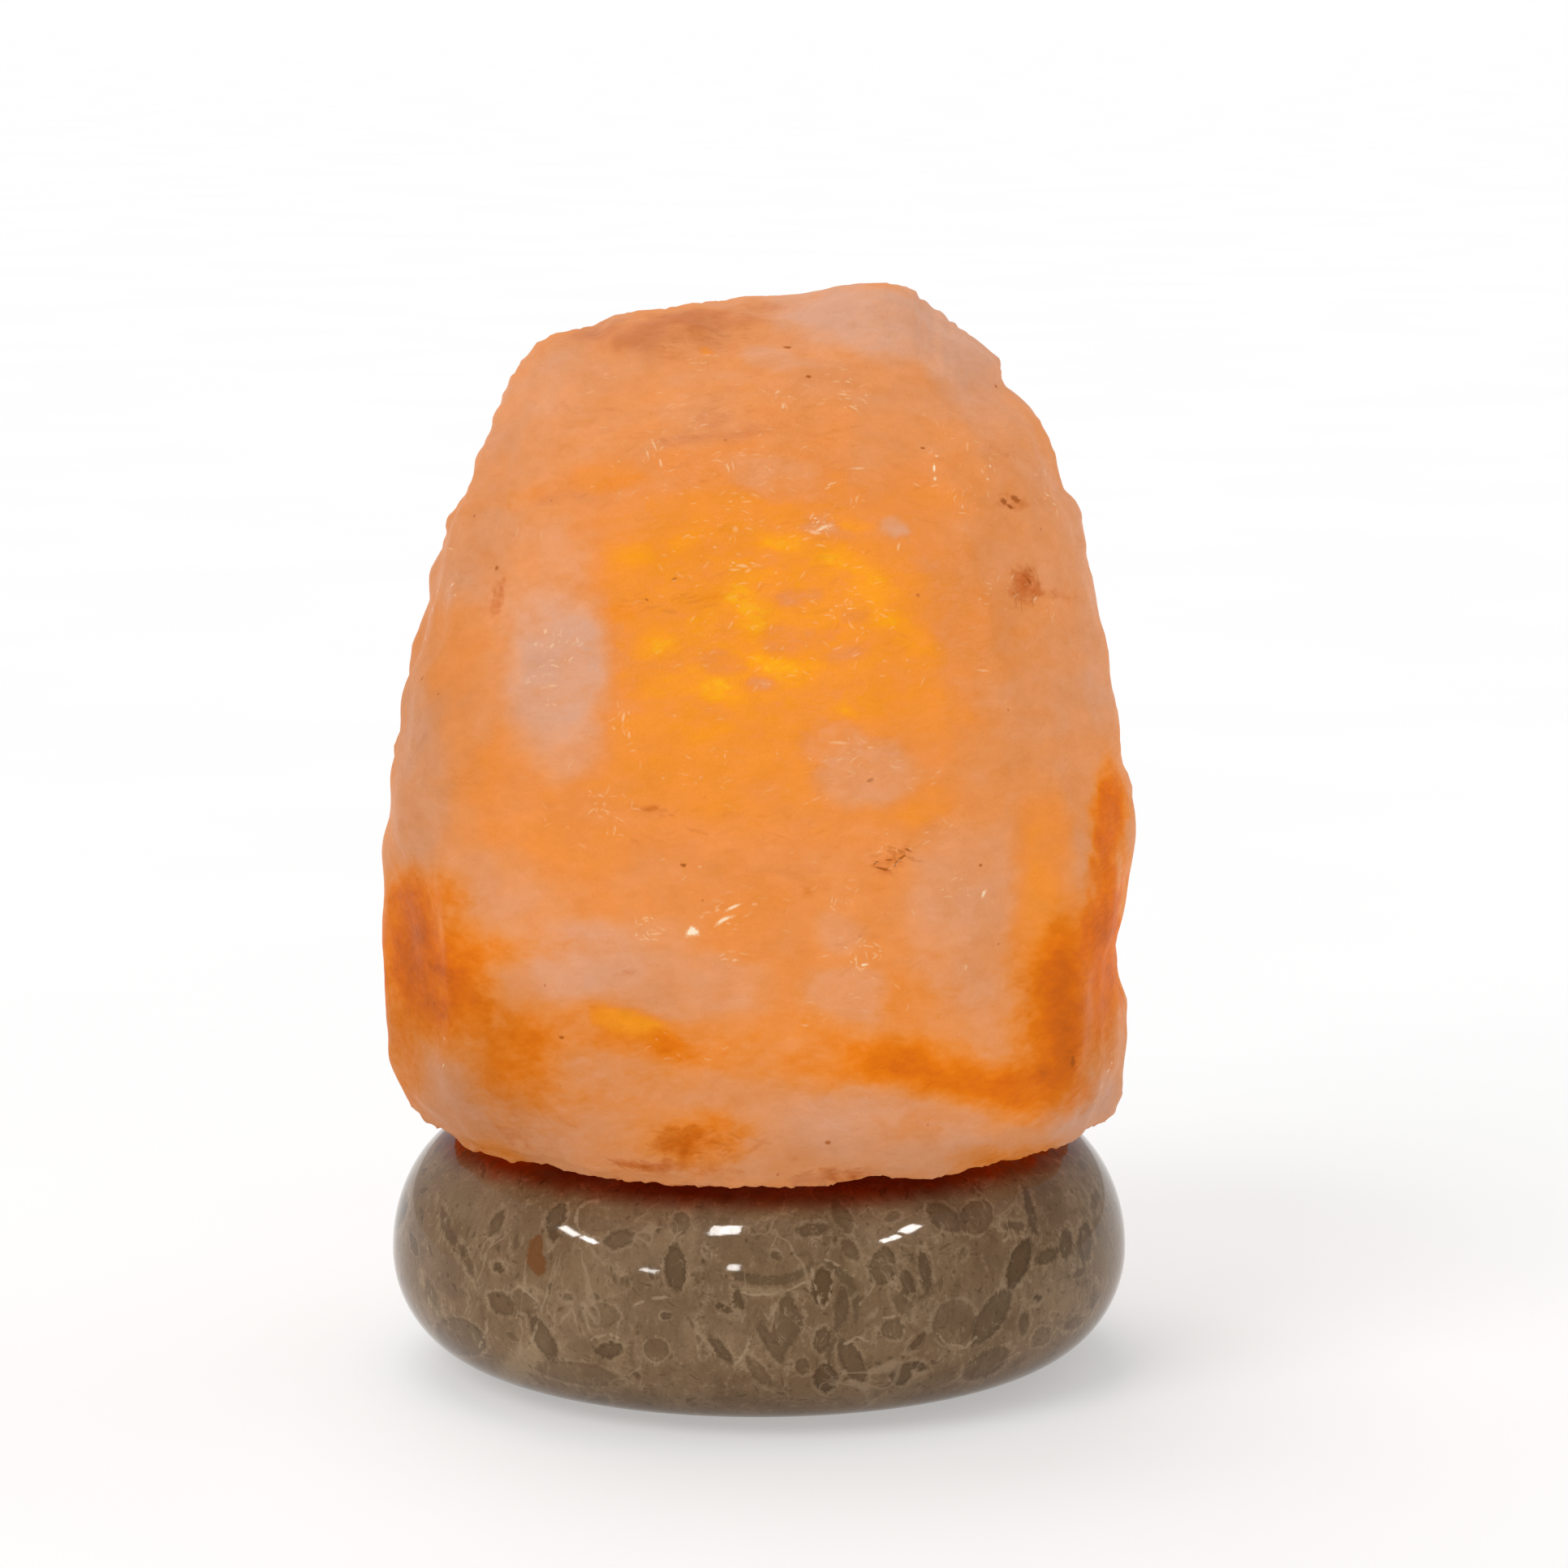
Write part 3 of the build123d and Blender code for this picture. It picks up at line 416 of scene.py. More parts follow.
def paint_block(obj):
    mesh = obj.data
    m = coords(mesh)
    p = m * 1000
    n = normals(mesh)
    u, v = to_px(m)
    to_cam = np.array(CAM) - m
    to_cam /= np.linalg.norm(to_cam, axis=1)[:, None]
    rad = np.hypot(p[:, 0], p[:, 1])
    inner = (rad < BORE_R + 0.7) & (p[:, 2] < BORE_TOP + 0.6)
    # the outward way, smoother than the hewn surface's own normal
    out = p - np.array([0, 0, 100.0]); out[:, 2] *= 0.6
    out /= np.linalg.norm(out, axis=1)[:, None]
    facing = smooth(-0.50, -0.12, (out * to_cam).sum(1)) * (~inner)

    wu = 13 * fbm(p / 9, 41, 3) + 8 * fbm(p / 2.6, 42, 2)
    wv = 9 * fbm(p / (12, 12, 7), 43, 3) + 6 * fbm(p / (3.6, 3.6, 1.7), 44, 2)
    U, V = u + wu, v + wv
    w = p + 5 * np.stack([noise(p / 16, 51), noise(p / 16, 52), noise(p / 16, 53)], 1)
    patch = fbm(w / (9, 9, 5.5), 45, 3)
    fine = fbm(w / (4.2, 4.2, 2.0), 46, 3)
    vary = 0.62 + 0.55 * fbm(p / (7, 7, 4.5), 47, 3)

    # elsewhere the same kinds of patch, from noise
    ring = np.exp(-((p[:, 2] - 126) / 30) ** 2)
    milky_n = smooth(0.06, 0.34, fbm(w / (19, 19, 15), 61, 3) + 0.08 * fine) * 0.8
    iron_n = smooth(-0.05, 0.62, fbm(w / (30, 30, 19), 86, 2) + 0.05 * fine) * (1 - 0.6 * milky_n) * 0.70 * smooth(165, 110, p[:, 2])
    warm_n = smooth(-0.05, 0.35, fbm(w / (24, 24, 13), 63, 3)) * (0.25 + 0.4 * ring)
    bright_n = smooth(0.08, 0.34, fbm(w / (9, 9, 4.5), 65, 3)) * ring * smooth(-0.2, 0.2, fbm(w / (26, 26, 16), 68, 2))
    tan_n = smooth(0.12, 0.4, fbm(w / (24, 24, 6), 67, 3)) * 0.5 * smooth(110, 150, p[:, 2])
    stain_n = smooth(0.36, 0.58, fbm(w / (9, 9, 5), 64, 3)) * 0.5
    spark_n = smooth(0.22, 0.45, fbm(w / (8, 8, 6), 69, 3)) * 0.8

    def both(front, round_it):
        return front * facing + round_it * (1 - facing)

    # painted glow: the salt is painted more orange and yellow where the bulb's light comes through, most round the
    # bulb's height and in the bright patches
    core = both(np.exp(-(((u - 945) / 350) ** 2 + ((v - 905) / 440) ** 2) ** 1.3), 0.30 + 0.35 * ring)
    glow = both(np.exp(-(((u - 945) / 235) ** 2 + ((v - 770) / 170) ** 2) ** 1.5), ring * 0.62)
    level = 0.24 + 0.22 * core + 0.27 * glow
    level += both(marks(U, V, WARM, 0.45), warm_n) * (0.90 - level) * 0.62
    level += both(marks(U, V, BRIGHT, 0.55), bright_n) * (1.0 - level) * 0.72
    level -= both(marks(U, V, MILKY, 0.34), milky_n) * (level - 0.09) * (0.80 + 0.35 * vary)
    level -= marks(U, V, GREY, 0.6) * facing * 0.11
    level += 0.085 * patch + 0.032 * fine
    iron_and_glow = both(marks(U, V, IRON, 0.72), iron_n) * (0.74 + 0.42 * vary)
    tan = both(marks(U, V, TANNED, 0.5), tan_n) * vary * 1.3
    stain = both(marks(U, V, STAINS, 0.6), stain_n) * (0.55 + 0.7 * vary)
    spark = both(marks(u, v, SPARKS, 0.5), spark_n)
    # painted shade: the listed dim patches in front, darker towards the bottom round the sides
    dim = both(marks(U, V, DIM, 0.8), smooth(70, 44, p[:, 2]) * 0.16)

    # painted glow: the underside glows red in its own shade, with painted shade across its middle, and the bulb's light
    # is painted on the bore, deeper orange away from it
    below = smooth(0.90, 0.98, -n[:, 2]) * smooth(SALT_Z0 + 0.5, SALT_Z0 + 0.2, p[:, 2]) * (~inner)
    dim = np.maximum(dim, 0.85 * below * smooth(48, 30, np.abs(p[:, 0])))
    below *= 0.32 + 0.68 * smooth(32, 50, np.abs(p[:, 0]))
    lit = np.exp(-(np.maximum(0, np.abs(p[:, 2] - 124) - 14) / 30) ** 1.3)
    iron_and_glow = np.where(inner, 0.80 - 0.8 * lit, np.maximum(iron_and_glow, below * 0.9))
    level = np.where(inner, 0.60 + 0.4 * lit, level)
    for name, value in (("level", level), ("iron_and_glow", iron_and_glow), ("tan", tan), ("stain", stain), ("spark", spark * (~inner)),
                        ("below", below), ("lively", 0.07 + 0.36 * glow + 0.05 * core), ("dim", dim)):
        mesh.attributes.new(name, "FLOAT", "POINT")
        mesh.attributes[name].data.foreach_set("value", np.clip(value, 0, 1.2).astype(np.float32))


paint_block(block)


# ------------------------------------------------------------------ node helpers
class Nodes:
    """A short way to write a material's nodes."""

    def __init__(self, name):
        self.mat = bpy.data.materials.new(name)
        self.mat.use_nodes = True
        self.t = self.mat.node_tree
        self.t.nodes.clear()
        self.out = self.t.nodes.new("ShaderNodeOutputMaterial")
        self.p = self.t.nodes.new("ShaderNodeBsdfPrincipled")
        self.t.links.new(self.p.outputs[0], self.out.inputs[0])
        self.obj = self.t.nodes.new("ShaderNodeTexCoord").outputs["Object"]

    def set(self, socket, value):
        """value is a constant or another node's output."""
        if isinstance(value, bpy.types.NodeSocket):
            self.t.links.new(value, socket)
        elif isinstance(value, (tuple, list, np.ndarray, Vector)):
            value = [float(x) for x in value]
            socket.default_value = value + [1.0] if socket.type == "RGBA" and len(value) == 3 else value
        else:
            socket.default_value = value

    def add(self, kind, *values, out=0, **props):
        n = self.t.nodes.new(kind)
        inputs = props.pop("inputs", {})
        for k, x in props.items():
            setattr(n, k, x)
        for i, x in enumerate(values):
            if x is not None:
                self.set(n.inputs[i], x)
        for k, x in inputs.items():
            self.set(n.inputs[k], x)
        return n.outputs[out]

    def math(self, op, a, b=0.0, c=0.0, clamp=False):
        return self.add("ShaderNodeMath", a, b, c, operation=op, use_clamp=clamp)

    def vec(self, op, a, b=(0, 0, 0)):
        return self.add("ShaderNodeVectorMath", a, b, operation=op, out={"LENGTH": 1, "DOT_PRODUCT": 1, "DISTANCE": 1}.get(op, 0))

    def scaled(self, v, k):
        return self.add("ShaderNodeVectorMath", v, operation="SCALE", inputs={"Scale": k})

    def noise(self, v, scale, detail=3.0, rough=0.5, distortion=0.0, colour=False):
        return self.add("ShaderNodeTexNoise", inputs={"Vector": v, "Scale": scale, "Detail": detail, "Roughness": rough,
                                                      "Distortion": distortion}, out=1 if colour else 0)

    def ramp(self, x, a, b, lo=0.0, hi=1.0, kind="SMOOTHSTEP"):
        return self.add("ShaderNodeMapRange", inputs={"Value": x, "From Min": a, "From Max": b, "To Min": lo, "To Max": hi},
                        interpolation_type=kind)

    def mix(self, k, a, b, kind="MIX"):
        n = self.t.nodes.new("ShaderNodeMix")
        n.data_type, n.blend_type, n.clamp_factor = "RGBA", kind, True
        self.set(n.inputs[0], k); self.set(n.inputs[6], a); self.set(n.inputs[7], b)
        return n.outputs[2]

    def scale_of(self, x, steps):
        n = self.t.nodes.new("ShaderNodeValToRGB")
        e = n.color_ramp.elements
        while len(e) > 1:
            e.remove(e[-1])
        e[0].position, e[0].color = steps[0][0], (*lin(*steps[0][1]), 1)
        for at, rgb in steps[1:]:
            e.new(at).color = (*lin(*rgb), 1)
        self.set(n.inputs[0], x)
        return n.outputs[0]

    def attr(self, name, out="Fac"):
        n = self.t.nodes.new("ShaderNodeAttribute")
        n.attribute_name = name
        return n.outputs[out]

    def stretch(self, v, scale=(1, 1, 1), turn=(0, 0, 0), shift=(0, 0, 0)):
        return self.add("ShaderNodeMapping", v, inputs={"Scale": scale, "Rotation": turn, "Location": shift})

    def warped(self, v, scale, amount, detail=2.0):
        c = self.noise(v, scale, detail, colour=True)
        return self.vec("ADD", v, self.scaled(self.vec("SUBTRACT", c, (0.5, 0.5, 0.5)), amount))

    def bump(self, height, strength, distance, normal=None):
        inputs = {"Strength": strength, "Distance": distance, "Height": height}
        if normal is not None:
            inputs["Normal"] = normal
        return self.add("ShaderNodeBump", inputs=inputs)


def surface_at(tree, px, py):
    """The point and outward normal where the photograph's pixel looks at the surface."""
    hit, normal, _, _ = tree.ray_cast(CAM, ray(px, py))
    if hit is None:
        raise RuntimeError(f"no surface behind pixel {px}, {py}")
    if normal.dot(CAM - hit) < 0:
        normal = -normal
    return hit, normal.normalized()


def in_plane(tree, px, py, turn):
    """At that pixel: the point, the way along the surface that looks turned by that angle, the way across it, the normal."""
    hit, normal = surface_at(tree, px, py)
    t = math.radians(turn)
    along = Vector(RIGHT * math.cos(t) + UP * math.sin(t))
    along = (along - normal * along.dot(normal)).normalized()
    return hit, along, normal.cross(along).normalized(), normal


def spot(N, v, frame_at, a, b, c=None, lens=False):
    """How far v is from a small body's centre, 1 at its edge. It lies in the surface, a by b, and goes c deep."""
    hit, along, across, normal = frame_at
    basis = Matrix((along, across, normal)).transposed()
    q = N.add("ShaderNodeMapping", v, vector_type="TEXTURE",
              inputs={"Location": tuple(hit), "Rotation": tuple(basis.to_euler("XYZ")), "Scale": (a, b, c or a)})
    if not lens:
        return N.vec("LENGTH", q)
    flat = N.vec("MULTIPLY", q, (1, 0, 1))
    y = N.add("ShaderNodeSeparateXYZ", q, out=1)
    return N.math("ADD", N.vec("DOT_PRODUCT", flat, flat), N.math("ABSOLUTE", y))


PX = 1 / 7500.0        # metres on the front surface for one pixel of the photograph, near enough

# ------------------------------------------------------------------ salt material
# Small brown inclusions, and painted glints where cleavage faces catch the light: pixel, half sizes in pixels, turn
SPECKS = [(970, 428, 6, 3.5, 10), (996, 464, 4, 2.5, 0), (1237, 618, 8, 5, 0), (1251, 615, 8, 4.5, 10), (1244, 624, 7, 3, 0), (1098, 1050, 10, 1.7, 50),
          (1112, 1056, 11, 1.7, -30), (1086, 1070, 12, 1.8, 15), (1104, 1064, 8, 1.5, -60), (1094, 1060, 9, 1.5, -10), (1118, 1047, 6, 1.5, 20), (1079, 1063, 6, 1.5, -40), (1227, 476, 4, 2.5, 0), (1020, 1408, 4, 3, 0),
          (612, 700, 4, 3, 0), (842, 1066, 3.5, 2.5, 0), (1268, 716, 6, 3, 30), (1137, 552, 3, 2, 0), (1208, 1066, 3, 2, 0),
          (520, 836, 3.5, 2.5, 0), (692, 1278, 4, 2.5, 0), (1322, 1308, 4, 9, 0)]
GLINTS = [(853, 1147, 10, 7, -6, 1.0), (892, 1133, 15, 3.4, -28, 0.85), (903, 1118, 13, 2.6, -24, 0.8), (884, 1121, 4, 2, -50, 0.5), (1212, 1101, 7, 3.6, -60, 0.8),
          (930, 1114, 4, 2, 0, 0.5), (904, 1183, 8, 1.8, -4, 0.6), (795, 1131, 5, 2, -10, 0.5), (798, 1150, 5, 1.6, 60, 0.5), (862, 1068, 3, 2, 0, 0.4),
          (1064, 1189, 8, 2.4, -14, 0.8), (1054, 1184, 3, 8, 8, 0.6), (1151, 576, 2.2, 7, 0, 0.9), (1152, 590, 2.5, 4, 0, 0.8), (1154, 562, 3, 2, 0, 0.7),
          (806, 548, 2, 12, -24, 0.6), (814, 570, 2, 7, -14, 0.6), (798, 560, 1.8, 8, -14, 0.6), (672, 778, 3, 4, 0, 0.6), (680, 796, 5, 2.4, -40, 0.6), (660, 794, 3, 3, 0, 0.5),
          (897, 576, 1.8, 7, -14, 0.6), (903, 574, 1.5, 8, -10, 0.5), (1024, 596, 9, 1.8, -30, 0.6), (1020, 601, 6, 1.5, -34, 0.5), (1057, 577, 12, 1.8, -6, 0.6),
          (1014, 650, 14, 3.2, -24, 0.7), (1004, 656, 10, 3, 14, 0.6), (1000, 636, 6, 2, -60, 0.5), (1020, 640, 8, 1.8, -20, 0.5), (1011, 672, 8, 1.6, 10, 0.45),
          (1107, 674, 2, 7, 14, 0.6), (965, 500, 3, 5, 0, 0.6), (958, 483, 5, 2, -30, 0.5), (1040, 486, 10, 2, -10, 0.6), (1052, 502, 9, 2.2, 30, 0.6),
          (1030, 470, 8, 1.6, -20, 0.5), (1062, 492, 7, 1.6, 20, 0.5), (768, 884, 2, 9, 10, 0.6), (775, 905, 2, 6, 0, 0.5), (1034, 915, 14, 2, 4, 0.5),
          (1190, 1192, 3, 4, 0, 0.5), (1275, 738, 7, 2.4, -30, 0.6), (1220, 574, 3, 2.4, 0, 0.8), (1217, 590, 3, 2.4, 0, 0.7), (1186, 624, 2, 3, 0, 0.5),
          (740, 980, 5, 2, 20, 0.4), (915, 697, 9, 2.6, 6, 0.6), (922, 703, 6, 2, -30, 0.5), (905, 702, 8, 1.8, 0, 0.5), (1032, 747, 5, 1.8, 10, 0.5), (1045, 749, 7, 1.8, 0, 0.5),
          (872, 437, 8, 2, -12, 0.45), (1040, 455, 6, 2, -30, 0.4), (906, 652, 4, 5, -20, 0.4), (920, 618, 8, 1.6, 0, 0.45), (1210, 826, 10, 1.6, 0, 0.45)]

# Clusters of fine painted glints: pixel, half sizes, way they run, its spread, how many, strength
CLUSTERS = [(916, 699, 20, 7, -6, 30, 12, 0.75), (1010, 644, 18, 13, -24, 40, 16, 0.8), (1041, 745, 16, 5, 0, 50, 8, 0.7), (1056, 620, 9, 6, -30, 50, 6, 0.6),
            (1200, 610, 34, 30, -60, 50, 9, 0.55), (1215, 570, 24, 14, -30, 50, 6, 0.6), (1044, 486, 26, 20, -10, 40, 14, 0.7), (966, 494, 16, 12, 60, 40, 7, 0.6),
            (806, 556, 12, 16, -70, 25, 8, 0.6), (872, 440, 22, 12, -20, 40, 8, 0.6), (690, 790, 26, 26, -50, 40, 20, 0.6), (672, 842, 22, 30, 10, 40, 14, 0.55),
            (764, 886, 12, 22, -80, 25, 12, 0.6), (1236, 730, 34, 22, -40, 40, 14, 0.55), (1042, 768, 60, 40, -20, 40, 12, 0.5), (900, 660, 60, 24, -20, 40, 12, 0.5),
            (800, 1142, 18, 20, 10, 50, 18, 0.6), (892, 1130, 36, 18, -26, 25, 16, 0.6), (1050, 1180, 40, 26, 10, 50, 22, 0.6), (1040, 1108, 22, 18, 60, 40, 8, 0.55),
            (1180, 1096, 28, 14, -40, 40, 8, 0.6), (1095, 1056, 26, 14, -30, 50, 8, 0.5), (745, 985, 22, 24, 20, 40, 10, 0.5), (770, 1000, 26, 30, 20, 50, 8, 0.45),
            (900, 1180, 26, 8, 0, 30, 8, 0.55), (1020, 920, 60, 18, 0, 25, 10, 0.5), (1140, 820, 60, 30, -20, 30, 8, 0.4), (700, 1000, 60, 60, 30, 50, 8, 0.35),
            (1286, 745, 24, 20, -40, 40, 6, 0.5), (830, 900, 90, 60, -14, 30, 12, 0.4), (1115, 1010, 60, 50, -20, 40, 8, 0.4), (640, 655, 30, 40, 60, 50, 6, 0.35),
            (1100, 1230, 60, 30, 0, 30, 8, 0.4), (850, 1290, 60, 20, 0, 30, 8, 0.4), (1010, 1250, 30, 20, 0, 30, 6, 0.45),
            (900, 500, 200, 70, -6, 22, 60, 0.34), (940, 740, 160, 115, -12, 30, 110, 0.42), (860, 590, 140, 40, -6, 22, 40, 0.40), (1000, 960, 160, 50, -4, 25, 40, 0.32),
            (960, 1100, 200, 60, -4, 30, 30, 0.26), (1170, 560, 60, 60, -20, 50, 20, 0.45)]
# and of fine darker ones
DARK_STROKES = [(830, 405, 150, 26, -5, 10, 34, 0.26), (900, 520, 170, 60, -6, 14, 36, 0.16), (820, 742, 60, 16, -6, 14, 16, 0.22), (960, 690, 130, 50, -8, 20, 16, 0.14),
                (880, 1010, 150, 40, -4, 16, 20, 0.16), (1100, 600, 110, 60, -4, 18, 20, 0.14), (1000, 800, 120, 50, -10, 24, 12, 0.14), (1095, 1058, 30, 12, -10, 40, 10, 0.45),
                (860, 1408, 80, 24, -6, 20, 34, 0.36), (1040, 1446, 60, 8, -4, 10, 12, 0.45), (790, 1436, 40, 8, 6, 10, 12, 0.45), (560, 1240, 60, 80, 30, 30, 20, 0.14),
                (1080, 1170, 60, 40, -10, 30, 10, 0.14), (640, 1390, 60, 30, 20, 20, 16, 0.2), (1262, 720, 20, 26, 80, 24, 14, 0.4), (808, 1002, 30, 6, 8, 12, 8, 0.3)]


def place_strokes(obj, name, strokes):
    """Gives each face the coordinates of the stroke nearest to it: along and across it, 1 at its edge, and its strength.

    The three corners of a face follow one linear rule, so a stroke finer than the mesh keeps its shape.
    A stroke is (point, along, across, normal), half length, half width, strength, bend."""
    mesh = obj.data
    n, loops = len(mesh.polygons), len(mesh.loops)
    co = np.empty(len(mesh.vertices) * 3); mesh.vertices.foreach_get("co", co); co = co.reshape(-1, 3)
    mid = np.empty(n * 3); mesh.polygons.foreach_get("center", mid); mid = mid.reshape(-1, 3)
    facing = np.empty(n * 3); mesh.polygons.foreach_get("normal", facing); facing = facing.reshape(-1, 3)
    start = np.empty(n, int); mesh.polygons.foreach_get("loop_start", start)
    count = np.empty(n, int); mesh.polygons.foreach_get("loop_total", count)
    vertex = np.empty(loops, int); mesh.loops.foreach_get("vertex_index", vertex)
    face = np.empty(loops, int)
    for k in range(count.max()):
        has = count > k
        face[start[has] + k] = np.nonzero(has)[0]
    best, pick = np.full(n, 1e9), np.full(n, -1)
    for i, (frame_at, a, b, k, bend) in enumerate(strokes):
        hit, along, across, normal = (np.array(x) for x in frame_at)
        near = np.nonzero(((mid - hit) ** 2).sum(1) < (a * 1.5 + 0.0012) ** 2)[0]
        near = near[facing[near] @ normal > 0.2]
        rel = mid[near] - hit
        d = np.hypot(rel @ along / a, rel @ across / b) + 0.8 * (1 - k)
        nearer = d < best[near]
        best[near[nearer]], pick[near[nearer]] = d[nearer], i
    out = np.tile([9.0, 9.0, 0.0], (loops, 1))
    curve = np.zeros(loops)
    mine = pick[face]
    for i, (frame_at, a, b, k, bend) in enumerate(strokes):
        at = np.nonzero(mine == i)[0]
        hit, along, across, _ = (np.array(x) for x in frame_at)
        rel = co[vertex[at]] - hit
        out[at, 0], out[at, 1], out[at, 2], curve[at] = rel @ along / a, rel @ across / b, k, bend
    mesh.attributes.new(name, "FLOAT_VECTOR", "CORNER")
    mesh.attributes[name].data.foreach_set("vector", out.astype(np.float32).ravel())
    mesh.attributes.new(name + "_bend", "FLOAT", "CORNER")
    mesh.attributes[name + "_bend"].data.foreach_set("value", curve.astype(np.float32))


def strokes_of(N, name, ragged, amount, soft=(1.15, 0.5)):
    """The placed strokes as one value, 1 in their middle times their strength."""
    at = N.t.nodes.new("ShaderNodeSeparateXYZ")
    N.set(at.inputs[0], N.attr(name, "Vector"))
    off = N.t.nodes.new("ShaderNodeSeparateXYZ")
    N.set(off.inputs[0], N.scaled(N.vec("SUBTRACT", ragged, (0.5, 0.5, 0.5)), amount))
    a = N.math("ADD", at.outputs[0], off.outputs[0])
    b = N.math("ADD", at.outputs[1], off.outputs[1])
    b = N.math("MULTIPLY_ADD", N.math("MULTIPLY", a, a), N.attr(name + "_bend"), b)
    d = N.math("SQRT", N.math("ADD", N.math("MULTIPLY", a, a), N.math("MULTIPLY", b, b)))
    return N.math("MULTIPLY", N.ramp(d, soft[0], soft[1]), at.outputs[2])


def scattered(tree, rnd, groups, lengths, widths, bend):
    """Fine strokes spread over the groups' ellipses, where they lie on the surface."""
    out = []
    for cx, cy, rx, ry, turn, spread, number, k in groups:
        for _ in range(number):
            r, t = math.sqrt(rnd.random()), rnd.uniform(0, 2 * math.pi)
            px, py, way = cx + rx * r * math.cos(t), cy + ry * r * math.sin(t), turn + rnd.normal(0, spread)
            a, b, strength, c = rnd.uniform(*lengths), rnd.uniform(*widths), k * rnd.uniform(0.4, 1.0), rnd.uniform(-bend, bend)
            if tree.ray_cast(CAM, ray(px, py))[0] is not None:
                out.append((in_plane(tree, px, py, -way), a * PX, b * PX, strength, c))
    return out


def salt_strokes():
    """Places the inclusions and the painted glints: the single ones, clusters of fine ones, and more all round."""
    tree = BVHTree.FromObject(block, bpy.context.evaluated_depsgraph_get())
    rnd = np.random.default_rng(97)
    dark = [(in_plane(tree, px, py, -turn), a * PX, b * PX, 1.0, 0.0) for px, py, a, b, turn in SPECKS]
    dark += scattered(tree, rnd, DARK_STROKES, (5, 17), (1.4, 3.4), 0.8)
    place_strokes(block, "speck", dark)
    strokes = [(in_plane(tree, px, py, -turn), a * PX, b * PX, k, rnd.uniform(-0.5, 0.9)) for px, py, a, b, turn, k in GLINTS]
    strokes += scattered(tree, rnd, CLUSTERS, (2.0, 8.5), (0.9, 1.8), 1.6)
    # round the sides and the back
    for _ in range(46):
        t, z = rnd.uniform(0, 2 * math.pi), rnd.uniform(0.052, 0.172)
        for _ in range(int(rnd.integers(3, 12))):
            t1, z1 = t + rnd.normal(0, 0.055), z + rnd.normal(0, 0.0028)
            way = Vector((math.cos(t1), math.sin(t1), 0))
            hit, normal, _, _ = tree.ray_cast(Vector((0, 0, z1)) + way * 0.2, -way)
            if hit is None or normal.y < -0.45:
                continue
            along = Vector((-math.sin(t1), math.cos(t1), rnd.normal(-0.1, 0.9)))
            along = (along - normal * along.dot(normal)).normalized()
            strokes.append(((hit, along, normal.cross(along).normalized(), normal), rnd.uniform(2.5, 9) * PX, rnd.uniform(1.0, 2.0) * PX,
                            rnd.uniform(0.35, 0.9), rnd.uniform(-1.6, 1.6)))
    place_strokes(block, "glint", strokes)


salt_strokes()


